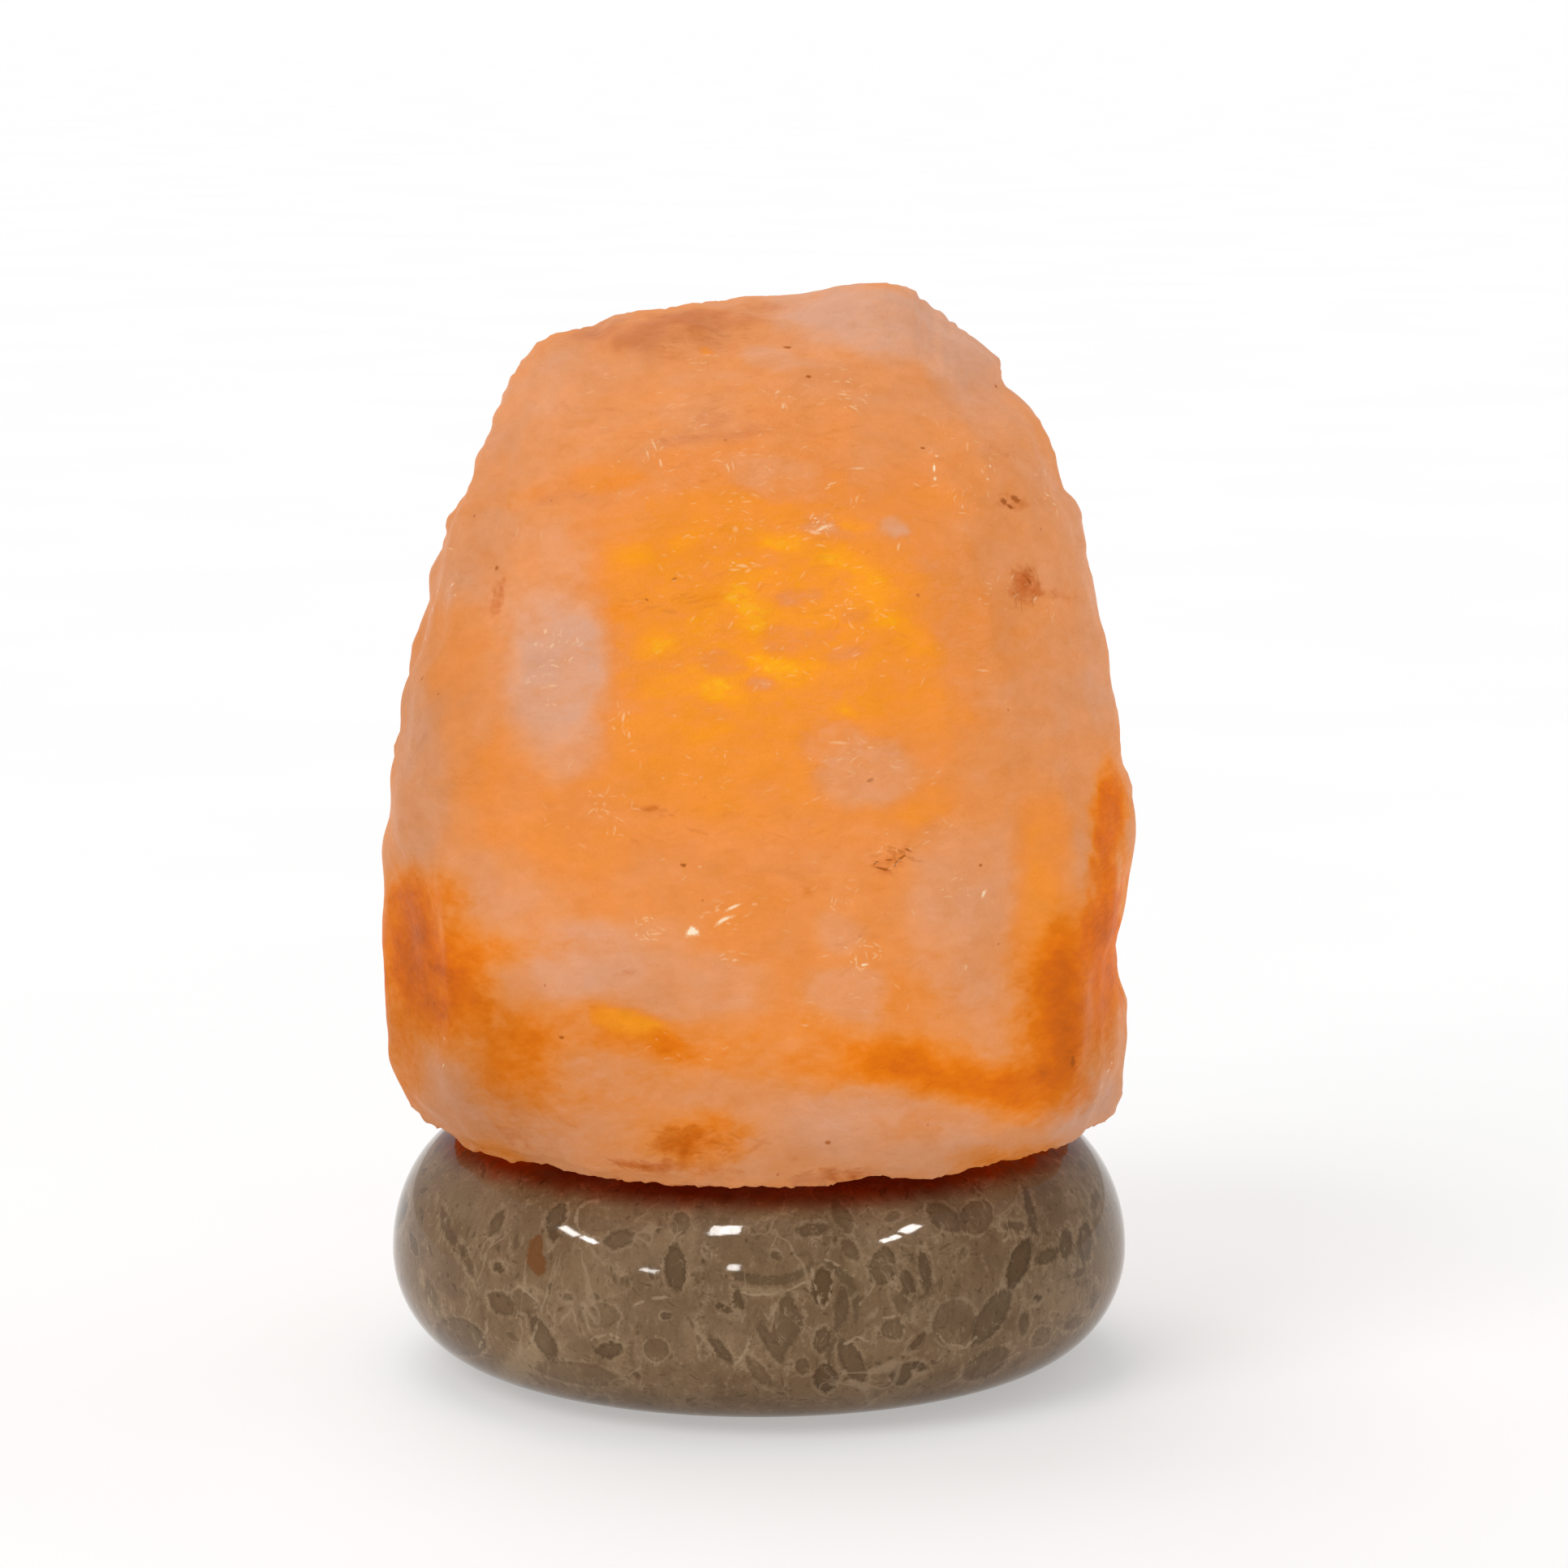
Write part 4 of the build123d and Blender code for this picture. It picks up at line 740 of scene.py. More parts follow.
def salt_material():
    N = Nodes("salt")
    v = N.obj
    level, iron_and_glow, tan, stain = N.attr("level"), N.attr("iron_and_glow"), N.attr("tan"), N.attr("stain")
    spark, below, lively = N.attr("spark"), N.attr("below"), N.attr("lively")
    bent = N.warped(v, 90, 0.008, 2)
    bent2 = N.warped(bent, 420, 0.0022, 1)

    def swing(x, k):
        return N.math("MULTIPLY", N.math("SUBTRACT", x, 0.5), k)

    nicked = N.warped(N.warped(v, 260, 0.0016, 1), 1100, 0.0007, 1)
    mottle = N.noise(N.stretch(bent, (1, 1, 1.6), (0, 0.25, 0)), 230, 2, 0.5)
    wisps = N.noise(N.stretch(nicked, (1, 1, 2.2), (0, 0.45, 0)), 520, 2, 0.5)
    grains = N.noise(bent, 2100, 2, 0.6)
    soft = N.noise(v, 95, 2, 0.5)

    def crystals(scale, squash, turn, k, soften):
        """Each broken-up cell passes the light its own way."""
        c = N.t.nodes.new("ShaderNodeTexVoronoi")
        c.feature = "SMOOTH_F1"
        N.set(c.inputs["Vector"], N.stretch(nicked, squash, turn)); N.set(c.inputs["Scale"], scale)
        N.set(c.inputs["Smoothness"], soften)
        return swing(N.add("ShaderNodeSeparateColor", c.outputs["Color"], out=0), k)

    cells1 = crystals(215.0, (1, 1, 1.5), (0, 0.35, 0), 0.30, 0.35)
    cells2 = crystals(430.0, (1, 1, 1.9), (0, 0.60, 0), 0.30, 0.25)
    cells = N.math("ADD", cells1, cells2)

    # how far the light comes through, in soft patches of several sizes
    step = N.math("ADD", N.math("ADD", swing(mottle, 0.40), swing(wisps, 0.28)), N.math("ADD", cells, swing(grains, 0.05)))
    x = N.math("MULTIPLY_ADD", step, lively, level)
    colour = N.scale_of(x, SCALE)
    # iron-stained salt, and the painted deep glow of the underside and the bore
    y = N.math("ADD", iron_and_glow, N.math("ADD", swing(mottle, 0.22), N.math("ADD", swing(wisps, 0.16), N.math("MULTIPLY", cells, 0.12))))
    colour = N.mix(N.ramp(y, 0.0, 0.52), colour, N.scale_of(y, DEEP))
    # browner on the top and along some layers
    brown_mix = N.math("ADD", tan, swing(N.noise(N.stretch(bent, (1, 1, 3.2)), 260, 3, 0.55), 0.5))
    colour = N.mix(N.ramp(brown_mix, 0.10, 0.65, 0.0, 0.62), colour, lin(199, 113, 66))
    # rust stains, broken up
    rust = N.math("ADD", stain, N.math("ADD", swing(wisps, 0.6), N.math("ADD", swing(mottle, 0.4), N.math("MULTIPLY", cells, 0.3))))
    colour = N.mix(N.ramp(rust, 0.16, 0.85, 0.0, 0.72), colour, lin(194, 88, 8))
    colour = N.mix(N.ramp(rust, 0.75, 1.05, 0.0, 0.35), colour, lin(158, 66, 0))
    # the layers' shade, then the painted shade where less light comes through
    shade = N.math("ADD", N.math("ADD", N.math("MULTIPLY", cells, -0.10), N.math("ADD", swing(soft, 0.16), swing(mottle, -0.12))),
                   N.math("ADD", swing(wisps, -0.08), N.math("ADD", swing(grains, 0.09), 1.0)))
    colour = N.scaled(colour, N.math("MULTIPLY", shade, N.math("SUBTRACT", 1.0, N.attr("dim"))))
    # scattered tiny rust dots
    cells = N.t.nodes.new("ShaderNodeTexVoronoi")
    N.set(cells.inputs["Vector"], bent); N.set(cells.inputs["Scale"], 230.0)
    pick = N.add("ShaderNodeSeparateColor", cells.outputs["Color"])
    dot = N.math("MULTIPLY", N.ramp(cells.outputs["Distance"], 0.10, 0.03), N.ramp(pick, 0.88, 0.90))
    colour = N.mix(N.math("MULTIPLY", dot, 0.55), colour, lin(150, 72, 26))
    # placed inclusions, with ragged edges
    ragged = N.noise(v, 2100, 2, 0.6, colour=True)
    colour = N.mix(N.math("MULTIPLY", strokes_of(N, "speck", ragged, 1.3, (1.3, 0.4)), 0.82), colour, lin(160, 80, 6))
    # painted glints: pale flecks standing for light caught by cleavage faces
    shine = N.math("MINIMUM", strokes_of(N, "glint", ragged, 0.8, (1.15, 0.35)), 1.0)
    pale = N.mix(0.55, colour, lin(255, 226, 180))
    colour = N.mix(shine, colour, N.mix(N.ramp(shine, 0.5, 0.95), pale, lin(255, 238, 208)))
    # the sheltered underside takes on the deep red of light that has gone far through the salt
    colour = N.mix(N.math("MULTIPLY", below, 0.9), colour, lin(214, 74, 12))

    # painted glow: part of the salt's colour is given out as emission, standing in for the bulb's light coming through
    # it, stronger on the underside
    N.set(N.p.inputs["Base Color"], N.mix(1.0, colour, (0.56, 0.52, 0.48), "MULTIPLY"))
    N.set(N.p.inputs["Emission Color"], N.scaled(colour, N.math("MULTIPLY_ADD", below, 1.5, 1.0)))
    N.p.inputs["Emission Strength"].default_value = 0.47
    N.set(N.p.inputs["Roughness"], N.math("SUBTRACT", N.ramp(soft, 0.3, 0.7, 0.38, 0.55), N.math("MULTIPLY", shine, 0.3)))
    N.p.inputs["IOR"].default_value = 1.5
    N.p.inputs["Specular IOR Level"].default_value = 0.06
    # relief finer than the mesh
    relief = N.math("ADD", N.math("MULTIPLY", wisps, 0.8), N.math("MULTIPLY", grains, 0.2))
    N.set(N.p.inputs["Normal"], N.bump(relief, 0.5, 0.0007))
    return N.mat


block.data.materials.clear()
block.data.materials.append(salt_material())
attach(block, "base")
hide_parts("salt_crystal")

# ------------------------------------------------------------------ stone material
# Fossils that show from the front: pixel, half length and half width in pixels, turn, pointed, darkness, warmth
FOSSILS = [
    (568, 1647, 32, 21, -25, 0, 0.55, 0), (763, 1527, 20, 11, 15, 1, 0.62, 0), (685, 1500, 20, 10, 60, 1, 0.75, 0),
    (682, 1522, 9, 5, 70, 1, 0.8, 0.4), (612, 1507, 18, 7, 66, 1, 0.6, 0.2), (832, 1563, 32, 13, 92, 1, 0.85, 0.1),
    (838, 1508, 16, 11, 70, 1, 0.5, 0), (615, 1562, 8, 5, -40, 1, 0.85, 0.3), (647, 1604, 18, 12, -40, 0, 0.35, 0),
    (618, 1607, 20, 12, -38, 1, 0.55, 0.6), (670, 1650, 32, 11, -62, 1, 0.7, 0.2), (750, 1664, 18, 10, 12, 1, 0.85, 0.3),
    (808, 1663, 15, 14, 0, 0, 0.35, 0.2), (742, 1621, 22, 15, 0, 0, 0.25, 0.3), (893, 1613, 13, 5, -35, 1, 0.85, 0.3),
    (910, 1600, 18, 5, -75, 1, 0.8, 0.2), (888, 1663, 24, 6, -50, 1, 0.75, 0.2), (820, 1621, 6, 5, 0, 0, 0.7, 0.2),
    (552, 1513, 28, 5, -72, 1, 0.55, 0.2), (533, 1595, 22, 5, -68, 1, 0.45, 0.2), (494, 1490, 24, 6, 78, 1, 0.8, 0.3),
    (575, 1552, 22, 4, -66, 1, 0.55, 0.2), (713, 1692, 52, 13, -10, 0, 0.32, 0.2), (737, 1727, 14, 6, 0, 1, 0.6, 0.1),
    (636, 1530, 10, 4, 70, 1, 0.5, 0.2), (700, 1598, 7, 4, 0, 1, 0.5, 0.2), (770, 1580, 6, 8, 0, 1, 0.5, 0.2),
    (1013, 1586, 25, 13, 86, 1, 0.85, 0.5), (1037, 1612, 28, 8, 84, 1, 0.65, 0.1), (966, 1633, 44, 12, 82, 1, 0.55, 0),
    (981, 1633, 20, 7, 80, 1, 0.5, 0.3), (1013, 1651, 17, 9, 80, 1, 0.7, 0.3), (1017, 1698, 19, 14, 86, 1, 0.95, 0.5),
    (1050, 1677, 32, 13, -62, 1, 0.7, 0.3), (988, 1683, 10, 8, 80, 0, 0.55, 0.3), (1087, 1560, 25, 15, 78, 0, 0.62, 0),
    (1118, 1580, 24, 7, -66, 1, 0.75, 0.2), (1140, 1567, 28, 7, -80, 1, 0.8, 0.1), (1137, 1603, 11, 3, 84, 1, 0.7, 0.2),
    (1111, 1607, 20, 8, -60, 1, 0.4, 0), (1175, 1630, 30, 25, 70, 0, 0.32, 0.4), (1100, 1638, 14, 13, 0, 0, 0.5, 0),
    (1222, 1622, 42, 15, 57, 1, 0.72, 0.2), (1215, 1680, 34, 14, 32, 1, 0.55, 0.6), (1255, 1557, 34, 12, 70, 1, 0.95, 0.4),
    (1290, 1548, 17, 8, 32, 1, 0.7, 0.3), (1313, 1533, 20, 7, 86, 1, 0.65, 0.1), (1337, 1530, 26, 9, 88, 1, 0.75, 0),
    (1262, 1630, 16, 6, 80, 1, 0.5, 0.3), (1283, 1647, 14, 9, 50, 0, 0.35, 0.3), (1278, 1600, 6, 4, 80, 1, 0.9, 0.6),
    (1163, 1500, 26, 13, -40, 1, 0.6, 0), (1203, 1500, 22, 19, 60, 0, 0.5, 0.5), (1250, 1511, 16, 5, 0, 1, 0.55, 0.1),
    (1270, 1493, 32, 5, -76, 1, 0.7, 0.1), (1000, 1515, 22, 8, 5, 1, 0.62, 0.1), (1133, 1683, 11, 6, -20, 1, 0.9, 0.3),
    (1110, 1693, 16, 13, 60, 1, 0.75, 0.3), (1130, 1653, 16, 5, 45, 1, 0.75, 0.3), (1323, 1630, 14, 6, 30, 1, 0.4, 0.3),
    (1048, 1541, 16, 8, -50, 1, 0.5, 0.2), (1038, 1500, 22, 10, -60, 1, 0.4, 0.1), (950, 1655, 30, 8, -58, 1, 0.55, 0.2),
    (934, 1690, 24, 8, -50, 1, 0.4, 0.2), (870, 1545, 14, 4, 80, 1, 0.5, 0.2), (865, 1600, 12, 3, 80, 1, 0.5, 0.2),
    (1349, 1480, 16, 4, 84, 1, 0.5, 0.2), (1347, 1600, 14, 3, 84, 1, 0.6, 0.2), (1185, 1545, 9, 4, 60, 1, 0.5, 0.2),
    (955, 1548, 8, 4, -30, 1, 0.6, 0.3), (1100, 1500, 10, 6, 30, 1, 0.4, 0.1), (1330, 1568, 8, 5, 40, 1, 0.5, 0.2),
]
# pale lines in the stone, as runs of pixels
PALE_LINES = [
    [(738, 1480), (722, 1482), (712, 1492), (709, 1504), (714, 1516), (726, 1524), (740, 1525)],
    [(728, 1651), (738, 1646), (752, 1645), (764, 1649)], [(637, 1583), (645, 1590), (653, 1594), (661, 1603)],
    [(911, 1592), (930, 1596), (952, 1595), (976, 1588), (994, 1579)], [(1017, 1552), (1036, 1560), (1052, 1573), (1062, 1590), (1058, 1617)],
    [(1000, 1562), (1006, 1590), (1012, 1616)], [(1026, 1566), (1024, 1590), (1018, 1614)], [(664, 1628), (658, 1645), (650, 1664)],
    [(1085, 1626), (1092, 1622), (1104, 1622), (1113, 1630), (1115, 1642)], [(826, 1526), (836, 1520), (842, 1512)],
    [(1040, 1655), (1058, 1648), (1070, 1652)], [(902, 1684), (914, 1672), (926, 1650)], [(1150, 1640), (1168, 1658), (1190, 1660), (1204, 1646)],
    [(590, 1660), (600, 1640), (598, 1625)], [(1235, 1530), (1246, 1522), (1262, 1524)], [(780, 1610), (800, 1600), (826, 1598)],
]
# crescents: a rounded body less another one
CRESCENTS = [(951, 1560, 50, 24, 4, 0, -12), (1030, 1596, 44, 26, -62, -9, 5), (1048, 1690, 46, 22, -60, 7, 7)]
PALE_LENSES = [(640, 1684, 50, 17, -50, 0.75, 2), (1310, 1600, 40, 24, 30, 0.28, 2), (1380, 1560, 30, 60, 0, 0.25, 2), (948, 1592, 44, 5, 4, 0.6, 2),
               (1070, 1540, 9, 34, 10, 0.4, 2), (850, 1540, 7, 60, 0, 0.45, 2), (655, 1588, 22, 5, 24, 0.7, 2), (1050, 1560, 22, 5, 70, 0.5, 2),
               (700, 1690, 16, 40, -10, 0.2, 2), (590, 1480, 60, 30, 30, 0.2, 2), (827, 1518, 14, 5, -30, 0.6, 2), (770, 1545, 60, 20, 0, 0.2, 2)]
RUST = [(660, 1540, 9, 20, 8, 1.0, 2), (665, 1560, 9, 13, 0, 0.9, 2), (656, 1553, 7, 12, 0, 0.8, 2)]


def stone_mesh():
    """The stone's own surface, with its rounded edge divided finely enough to carry the fossils' outlines."""
    mesh = NODES["marble_base"].data.copy()
    bm = bmesh.new()
    bm.from_mesh(mesh)
    bmesh.ops.remove_doubles(bm, verts=bm.verts, dist=1e-6)
    bmesh.ops.triangulate(bm, faces=bm.faces)

    def inside(v):
        r = math.hypot(v.co.x, v.co.y) * 1000
        return (r - 46.5) / 17.0, (v.co.z * 1000 - 19.5) / (22.0 if v.co.z > 0.0195 else 18.0), r

    on = set()
    for v in bm.verts:
        a, b, r = inside(v)
        if r > 46.4 and abs(math.hypot(a, b) - 1) < 0.003:
            on.add(v)
    for _ in range(16):
        long = []
        for e in bm.edges:
            v, w = e.verts
            if v not in on or w not in on:
                continue
            y, z = v.co.y + w.co.y, v.co.z + w.co.z
            reach = 0.00060 if y < -0.016 and z > 0.007 else 0.0026
            if (v.co - w.co).length > reach:
                m = (v.co + w.co) / 2
                if math.hypot((math.hypot(m.x, m.y) * 1000 - 46.5) / 17, (m.z * 1000 - 19.5) / (22.0 if m.z > 0.0195 else 18.0)) > 0.965:
                    long.append(e)
        if not long:
            break
        made = bmesh.ops.subdivide_edges(bm, edges=long, cuts=1, use_grid_fill=False)["geom_inner"]
        for v in made:
            if isinstance(v, bmesh.types.BMVert):
                a, b, r = inside(v)
                k = 1 / math.hypot(a, b)
                new_r = 46.5 + 17.0 * a * k
                v.co.x *= new_r / r; v.co.y *= new_r / r
                v.co.z = (19.5 + (22.0 if b > 0 else 18.0) * b * k) / 1000
                on.add(v)
        bmesh.ops.triangulate(bm, faces=[f for f in bm.faces if len(f.verts) > 3])
    bm.to_mesh(mesh)
    bm.free()
    mesh.materials.clear()
    for a in [a.name for a in mesh.attributes if a.name.startswith("custom_normal")]:
        mesh.attributes.remove(mesh.attributes[a])
    obj = object_from(mesh, "stone_disc")
    mesh.shade_smooth()
    mesh.set_sharp_from_angle(angle=math.radians(32))
    print("stone_disc triangles", len(mesh.polygons))
    return obj


def paint_stone(obj):
    mesh = obj.data
    m = coords(mesh)
    p = m * 1000
    n = normals(mesh)
    u, v = to_px(m)
    to_cam = np.array(CAM) - m
    to_cam /= np.linalg.norm(to_cam, axis=1)[:, None]
    facing = smooth(0.02, 0.12, (n * to_cam).sum(1)) * (p[:, 1] < -7)
    u = u + 1.6 * fbm(p / 1.6, 71, 2) + 1.0 * fbm(p / 0.9, 73, 2)
    v = v + 1.6 * fbm(p / 1.6, 72, 2) + 1.0 * fbm(p / 0.9, 74, 2)
    fos, dark, warm = np.full(len(u), 30.0), np.zeros(len(u)), np.zeros(len(u))
    front = np.where(facing > 0.5)[0]
    U, V = u[front], v[front]

    def turned(cx, cy, turn):
        t = math.radians(turn)
        du, dv = U - cx, cy - V
        return du * math.cos(t) + dv * math.sin(t), -du * math.sin(t) + dv * math.cos(t)

    f, k, h = fos[front], dark[front], warm[front]
    for cx, cy, rx, ry, turn, pointed, strength, heat in FOSSILS:
        a, b = turned(cx, cy, turn)
        if pointed:
            g = np.sqrt((a / rx) ** 2 + np.abs(b) / ry * (0.55 + 0.45 * np.abs(b) / ry)) - 1
        else:
            g = np.sqrt((a / rx) ** 2 + (b / ry) ** 2) - 1
        g = g * min(rx, ry) * 1.25
        near = g < f
        f = np.where(near, g, f); k = np.where(near, strength, k); h = np.where(near, heat, h)
    fos[front], dark[front], warm[front] = f, k, h

    moon = np.full(len(u), 30.0)
    q = moon[front]
    for cx, cy, rx, ry, turn, dx, dy in CRESCENTS:
        a, b = turned(cx, cy, turn)
        g1 = (np.sqrt((a / rx) ** 2 + (b / ry) ** 2) - 1) * ry
        a, b = turned(cx + dx, cy + dy, turn)
        g2 = (1 - np.sqrt((a / (rx * 1.06)) ** 2 + (b / ry) ** 2)) * ry
        q = np.minimum(q, np.maximum(g1, g2))
    moon[front] = q

    ember = smooth(37.3, 40.3, p[:, 2] + 0.5 * fbm(p / 3.0, 75, 2))
    line = np.full(len(u), 30.0)
    q = line[front]
    for run in PALE_LINES:
        for (x0, y0), (x1, y1) in zip(run, run[1:]):
            dx, dy = x1 - x0, y1 - y0
            t = np.clip(((U - x0) * dx + (V - y0) * dy) / (dx * dx + dy * dy), 0, 1)
            q = np.minimum(q, np.hypot(U - x0 - t * dx, V - y0 - t * dy))
    line[front] = q
    pale = marks(u, v, PALE_LENSES, 0.3) * facing
    rust = marks(u, v, RUST, 0.35) * facing
    for name, value in (("fossil", np.clip(fos, -30, 30)), ("dark", dark), ("warm", warm), ("moon", np.clip(moon, -30, 30)),
                        ("line", np.clip(line, 0, 30)), ("pale", pale), ("rust", rust), ("ember", ember)):
        mesh.attributes.new(name, "FLOAT", "POINT")
        mesh.attributes[name].data.foreach_set("value", value.astype(np.float32))


stone = stone_mesh()
paint_stone(stone)


def stone_material():
    N = Nodes("fossil_marble")
    v = N.obj
    fossil, dark, warm, moon = N.attr("fossil"), N.attr("dark"), N.attr("warm"), N.attr("moon")
    line, pale, rust = N.attr("line"), N.attr("pale"), N.attr("rust")
    bent = N.warped(v, 55, 0.010, 3)
    fine = N.warped(v, 420, 0.0013, 2)
    mottle = N.noise(bent, 95, 5, 0.6)
    flow = N.noise(N.stretch(bent, (1.5, 1.5, 0.8), (0.3, 0.2, 0)), 330, 6, 0.66)
    grain = N.noise(v, 2200, 4, 0.65)
    crumb = N.noise(v, 1300, 3, 0.6)
    cloud = N.noise(v, 38, 2, 0.5)

    def swing(x, k):
        return N.math("MULTIPLY", N.math("SUBTRACT", x, 0.5), k)

    rough_edge = N.math("ADD", swing(crumb, 9.0), swing(grain, 5.0))
    fossil = N.math("ADD", fossil, rough_edge)
    moon = N.math("ADD", moon, rough_edge)
    line = N.math("ADD", line, swing(crumb, 3.0))

    colour = N.mix(N.ramp(mottle, 0.30, 0.70), lin(124, 100, 76), lin(148, 123, 96))
    colour = N.mix(N.ramp(cloud, 0.46, 0.66, 0.0, 0.5), colour, lin(124, 98, 70))
    colour = N.mix(N.ramp(flow, 0.50, 0.74, 0.0, 0.75), colour, lin(108, 85, 62))
    colour = N.mix(N.ramp(flow, 0.46, 0.26, 0.0, 0.70), colour, lin(166, 142, 115))
    colour = N.mix(N.ramp(crumb, 0.56, 0.72, 0.0, 0.5), colour, lin(104, 81, 57))

    def shells(scale, a, c, turn, share, seed):
        """Round lens-shaped shells lying every way, cut through by the surface: 1 at the rim."""
        cell = N.t.nodes.new("ShaderNodeTexVoronoi")
        w = N.stretch(fine, (1, 1, 1), turn, (seed, seed * 0.7, seed * 1.3))
        N.set(cell.inputs["Vector"], w); N.set(cell.inputs["Scale"], scale); N.set(cell.inputs["Randomness"], 0.9)
        away = N.vec("SUBTRACT", w, cell.outputs["Position"])
        q = N.add("ShaderNodeVectorRotate", away, rotation_type="EULER_XYZ",
                  inputs={"Rotation": N.scaled(cell.outputs["Color"], 6.283)})
        q = N.vec("MULTIPLY", q, (1 / a, 1 / a, 1 / c))
        flat = N.vec("MULTIPLY", q, (1, 1, 0))
        z = N.add("ShaderNodeSeparateXYZ", q, out=2)
        f = N.math("ADD", N.vec("DOT_PRODUCT", flat, flat), N.math("ABSOLUTE", z))
        pick = N.add("ShaderNodeSeparateColor", cell.outputs["Color"], out=1)
        return N.math("ADD", f, N.ramp(pick, share, share + 0.02, 0.0, 4.0)), pick

    big, tone1 = shells(92, 0.0048, 0.0020, (0.5, 0.2, 0.1), 0.74, 3.1)
    small, tone2 = shells(200, 0.0023, 0.0008, (0.1, 0.9, 0.4), 0.72, 7.7)
    tiny, tone3 = shells(470, 0.0010, 0.00028, (0.8, 0.3, 1.2), 0.66, 1.9)
    spikes, tone4 = shells(330, 0.0017, 0.00022, (0.3, 1.3, 0.2), 0.55, 5.3)
    in_front = N.ramp(N.add("ShaderNodeSeparateXYZ", v, out=1), -0.018, -0.036)
    clear = N.math("MAXIMUM", N.ramp(fossil, 9.0, 3.0), N.math("MULTIPLY", in_front, 0.36))
    for f, k, keep, pick, edge in ((big, 0.62, 3.0, tone1, 0.30), (small, 0.60, 1.2, tone2, 0.25), (spikes, 0.62, 0.5, tone4, 0.12), (tiny, 0.55, 0.0, tone3, 0.2)):
        f = N.math("MULTIPLY_ADD", clear, keep, f)
        k = N.math("MULTIPLY", N.ramp(N.math("FRACT", N.math("MULTIPLY", pick, 37.0)), 0.0, 1.0, 0.35, 1.0), k)
        rim = N.math("MULTIPLY", N.ramp(f, 1.26, 1.08), N.ramp(f, 0.94, 1.04))
        colour = N.mix(N.math("MULTIPLY", rim, edge), colour, lin(166, 143, 117))
        colour = N.mix(N.math("MULTIPLY", N.ramp(f, 1.05, 0.86), k), colour, N.mix(tone2, lin(92, 73, 53), lin(98, 74, 47)))
    # pale bodies, then the placed fossils with their pale rims
    colour = N.mix(N.math("MULTIPLY", pale, N.ramp(crumb, 0.25, 0.65, 0.45, 1.0)), colour, lin(168, 145, 116))
    rim = N.math("MULTIPLY", N.ramp(fossil, 5.5, 3.0), N.ramp(fossil, 0.2, 2.2))
    colour = N.mix(N.math("MULTIPLY", rim, N.ramp(flow, 0.62, 0.40, 0.05, 0.52)), colour, lin(168, 146, 120))
    body = N.mix(N.ramp(grain, 0.3, 0.7), lin(92, 73, 53), lin(114, 93, 71))
    body = N.mix(warm, body, lin(92, 66, 38))
    colour = N.mix(N.math("MULTIPLY", N.math("MULTIPLY", N.ramp(fossil, 1.6, -1.2), dark), 0.92), colour, body)
    # a lens is a little darker just inside its edge
    ring = N.math("MULTIPLY", N.math("MULTIPLY", N.ramp(fossil, 0.5, -0.8), N.ramp(fossil, -5.0, -1.8)), dark)
    colour = N.mix(N.math("MULTIPLY", ring, 0.34), colour, lin(66, 50, 33))
    # crescents
    colour = N.mix(N.math("MULTIPLY", N.ramp(moon, 1.4, -1.2), 0.78), colour, N.mix(N.ramp(grain, 0.3, 0.7), lin(96, 77, 56), lin(112, 92, 69)))
    # pale lines
    colour = N.mix(N.math("MULTIPLY", N.ramp(line, 2.6, 1.0), N.ramp(flow, 0.70, 0.45, 0.25, 0.75)), colour, lin(176, 154, 128))
    # pale wavy veins and hairlines
    wave = N.noise(N.stretch(bent, (1.0, 1.0, 0.5)), 75, 3, 0.55, 0.8)
    vein = N.math("MULTIPLY", N.ramp(N.math("ABSOLUTE", N.math("SUBTRACT", wave, 0.5)), 0.014, 0.003), N.ramp(mottle, 0.46, 0.6))
    colour = N.mix(N.math("MULTIPLY", vein, 0.5), colour, lin(174, 152, 126))
    wave2 = N.noise(N.stretch(N.warped(v, 200, 0.005, 2), (1, 1, 0.6)), 190, 3, 0.55, 1.2)
    vein2 = N.math("MULTIPLY", N.ramp(N.math("ABSOLUTE", N.math("SUBTRACT", wave2, 0.5)), 0.013, 0.003), N.ramp(flow, 0.56, 0.42))
    colour = N.mix(N.math("MULTIPLY", vein2, 0.50), colour, lin(170, 147, 121))
    # peppering of dark dots
    cell = N.t.nodes.new("ShaderNodeTexVoronoi")
    N.set(cell.inputs["Vector"], fine); N.set(cell.inputs["Scale"], 560.0)
    pick = N.add("ShaderNodeSeparateColor", cell.outputs["Color"])
    pepper = N.math("MULTIPLY", N.ramp(cell.outputs["Distance"], 0.30, 0.12), N.ramp(pick, 0.76, 0.78))
    colour = N.mix(N.math("MULTIPLY", pepper, 0.5), colour, lin(78, 58, 38))
    # rust
    colour = N.mix(N.math("MULTIPLY", N.ramp(N.math("ADD", rust, swing(crumb, 1.0)), 0.35, 0.75), 0.80), colour, lin(122, 74, 34))
    # painted shade: darker towards the bottom; then darker grains all over
    z = N.add("ShaderNodeSeparateXYZ", v, out=2)
    colour = N.mix(N.ramp(z, 0.014, 0.002, 0.0, 0.42), colour, lin(72, 54, 38))
    colour = N.mix(N.ramp(grain, 0.30, 0.70, 0.0, 0.18), colour, lin(80, 62, 44))
    # next to the salt only its deep red light reaches the stone
    colour = N.mix(N.math("POWER", N.attr("ember"), 0.7), colour, N.mix(1.0, colour, (0.74, 0.13, 0.012), "MULTIPLY"))

    N.set(N.p.inputs["Base Color"], N.mix(1.0, colour, (0.90, 0.85, 0.77), "MULTIPLY"))
    N.set(N.p.inputs["Roughness"], N.ramp(flow, 0.3, 0.7, 0.045, 0.075))
    N.p.inputs["IOR"].default_value = 1.45
    N.p.inputs["Specular IOR Level"].default_value = 0.14
    N.set(N.p.inputs["Normal"], N.bump(N.noise(v, 260, 3, 0.5), 0.04, 0.0003))
    return N.mat


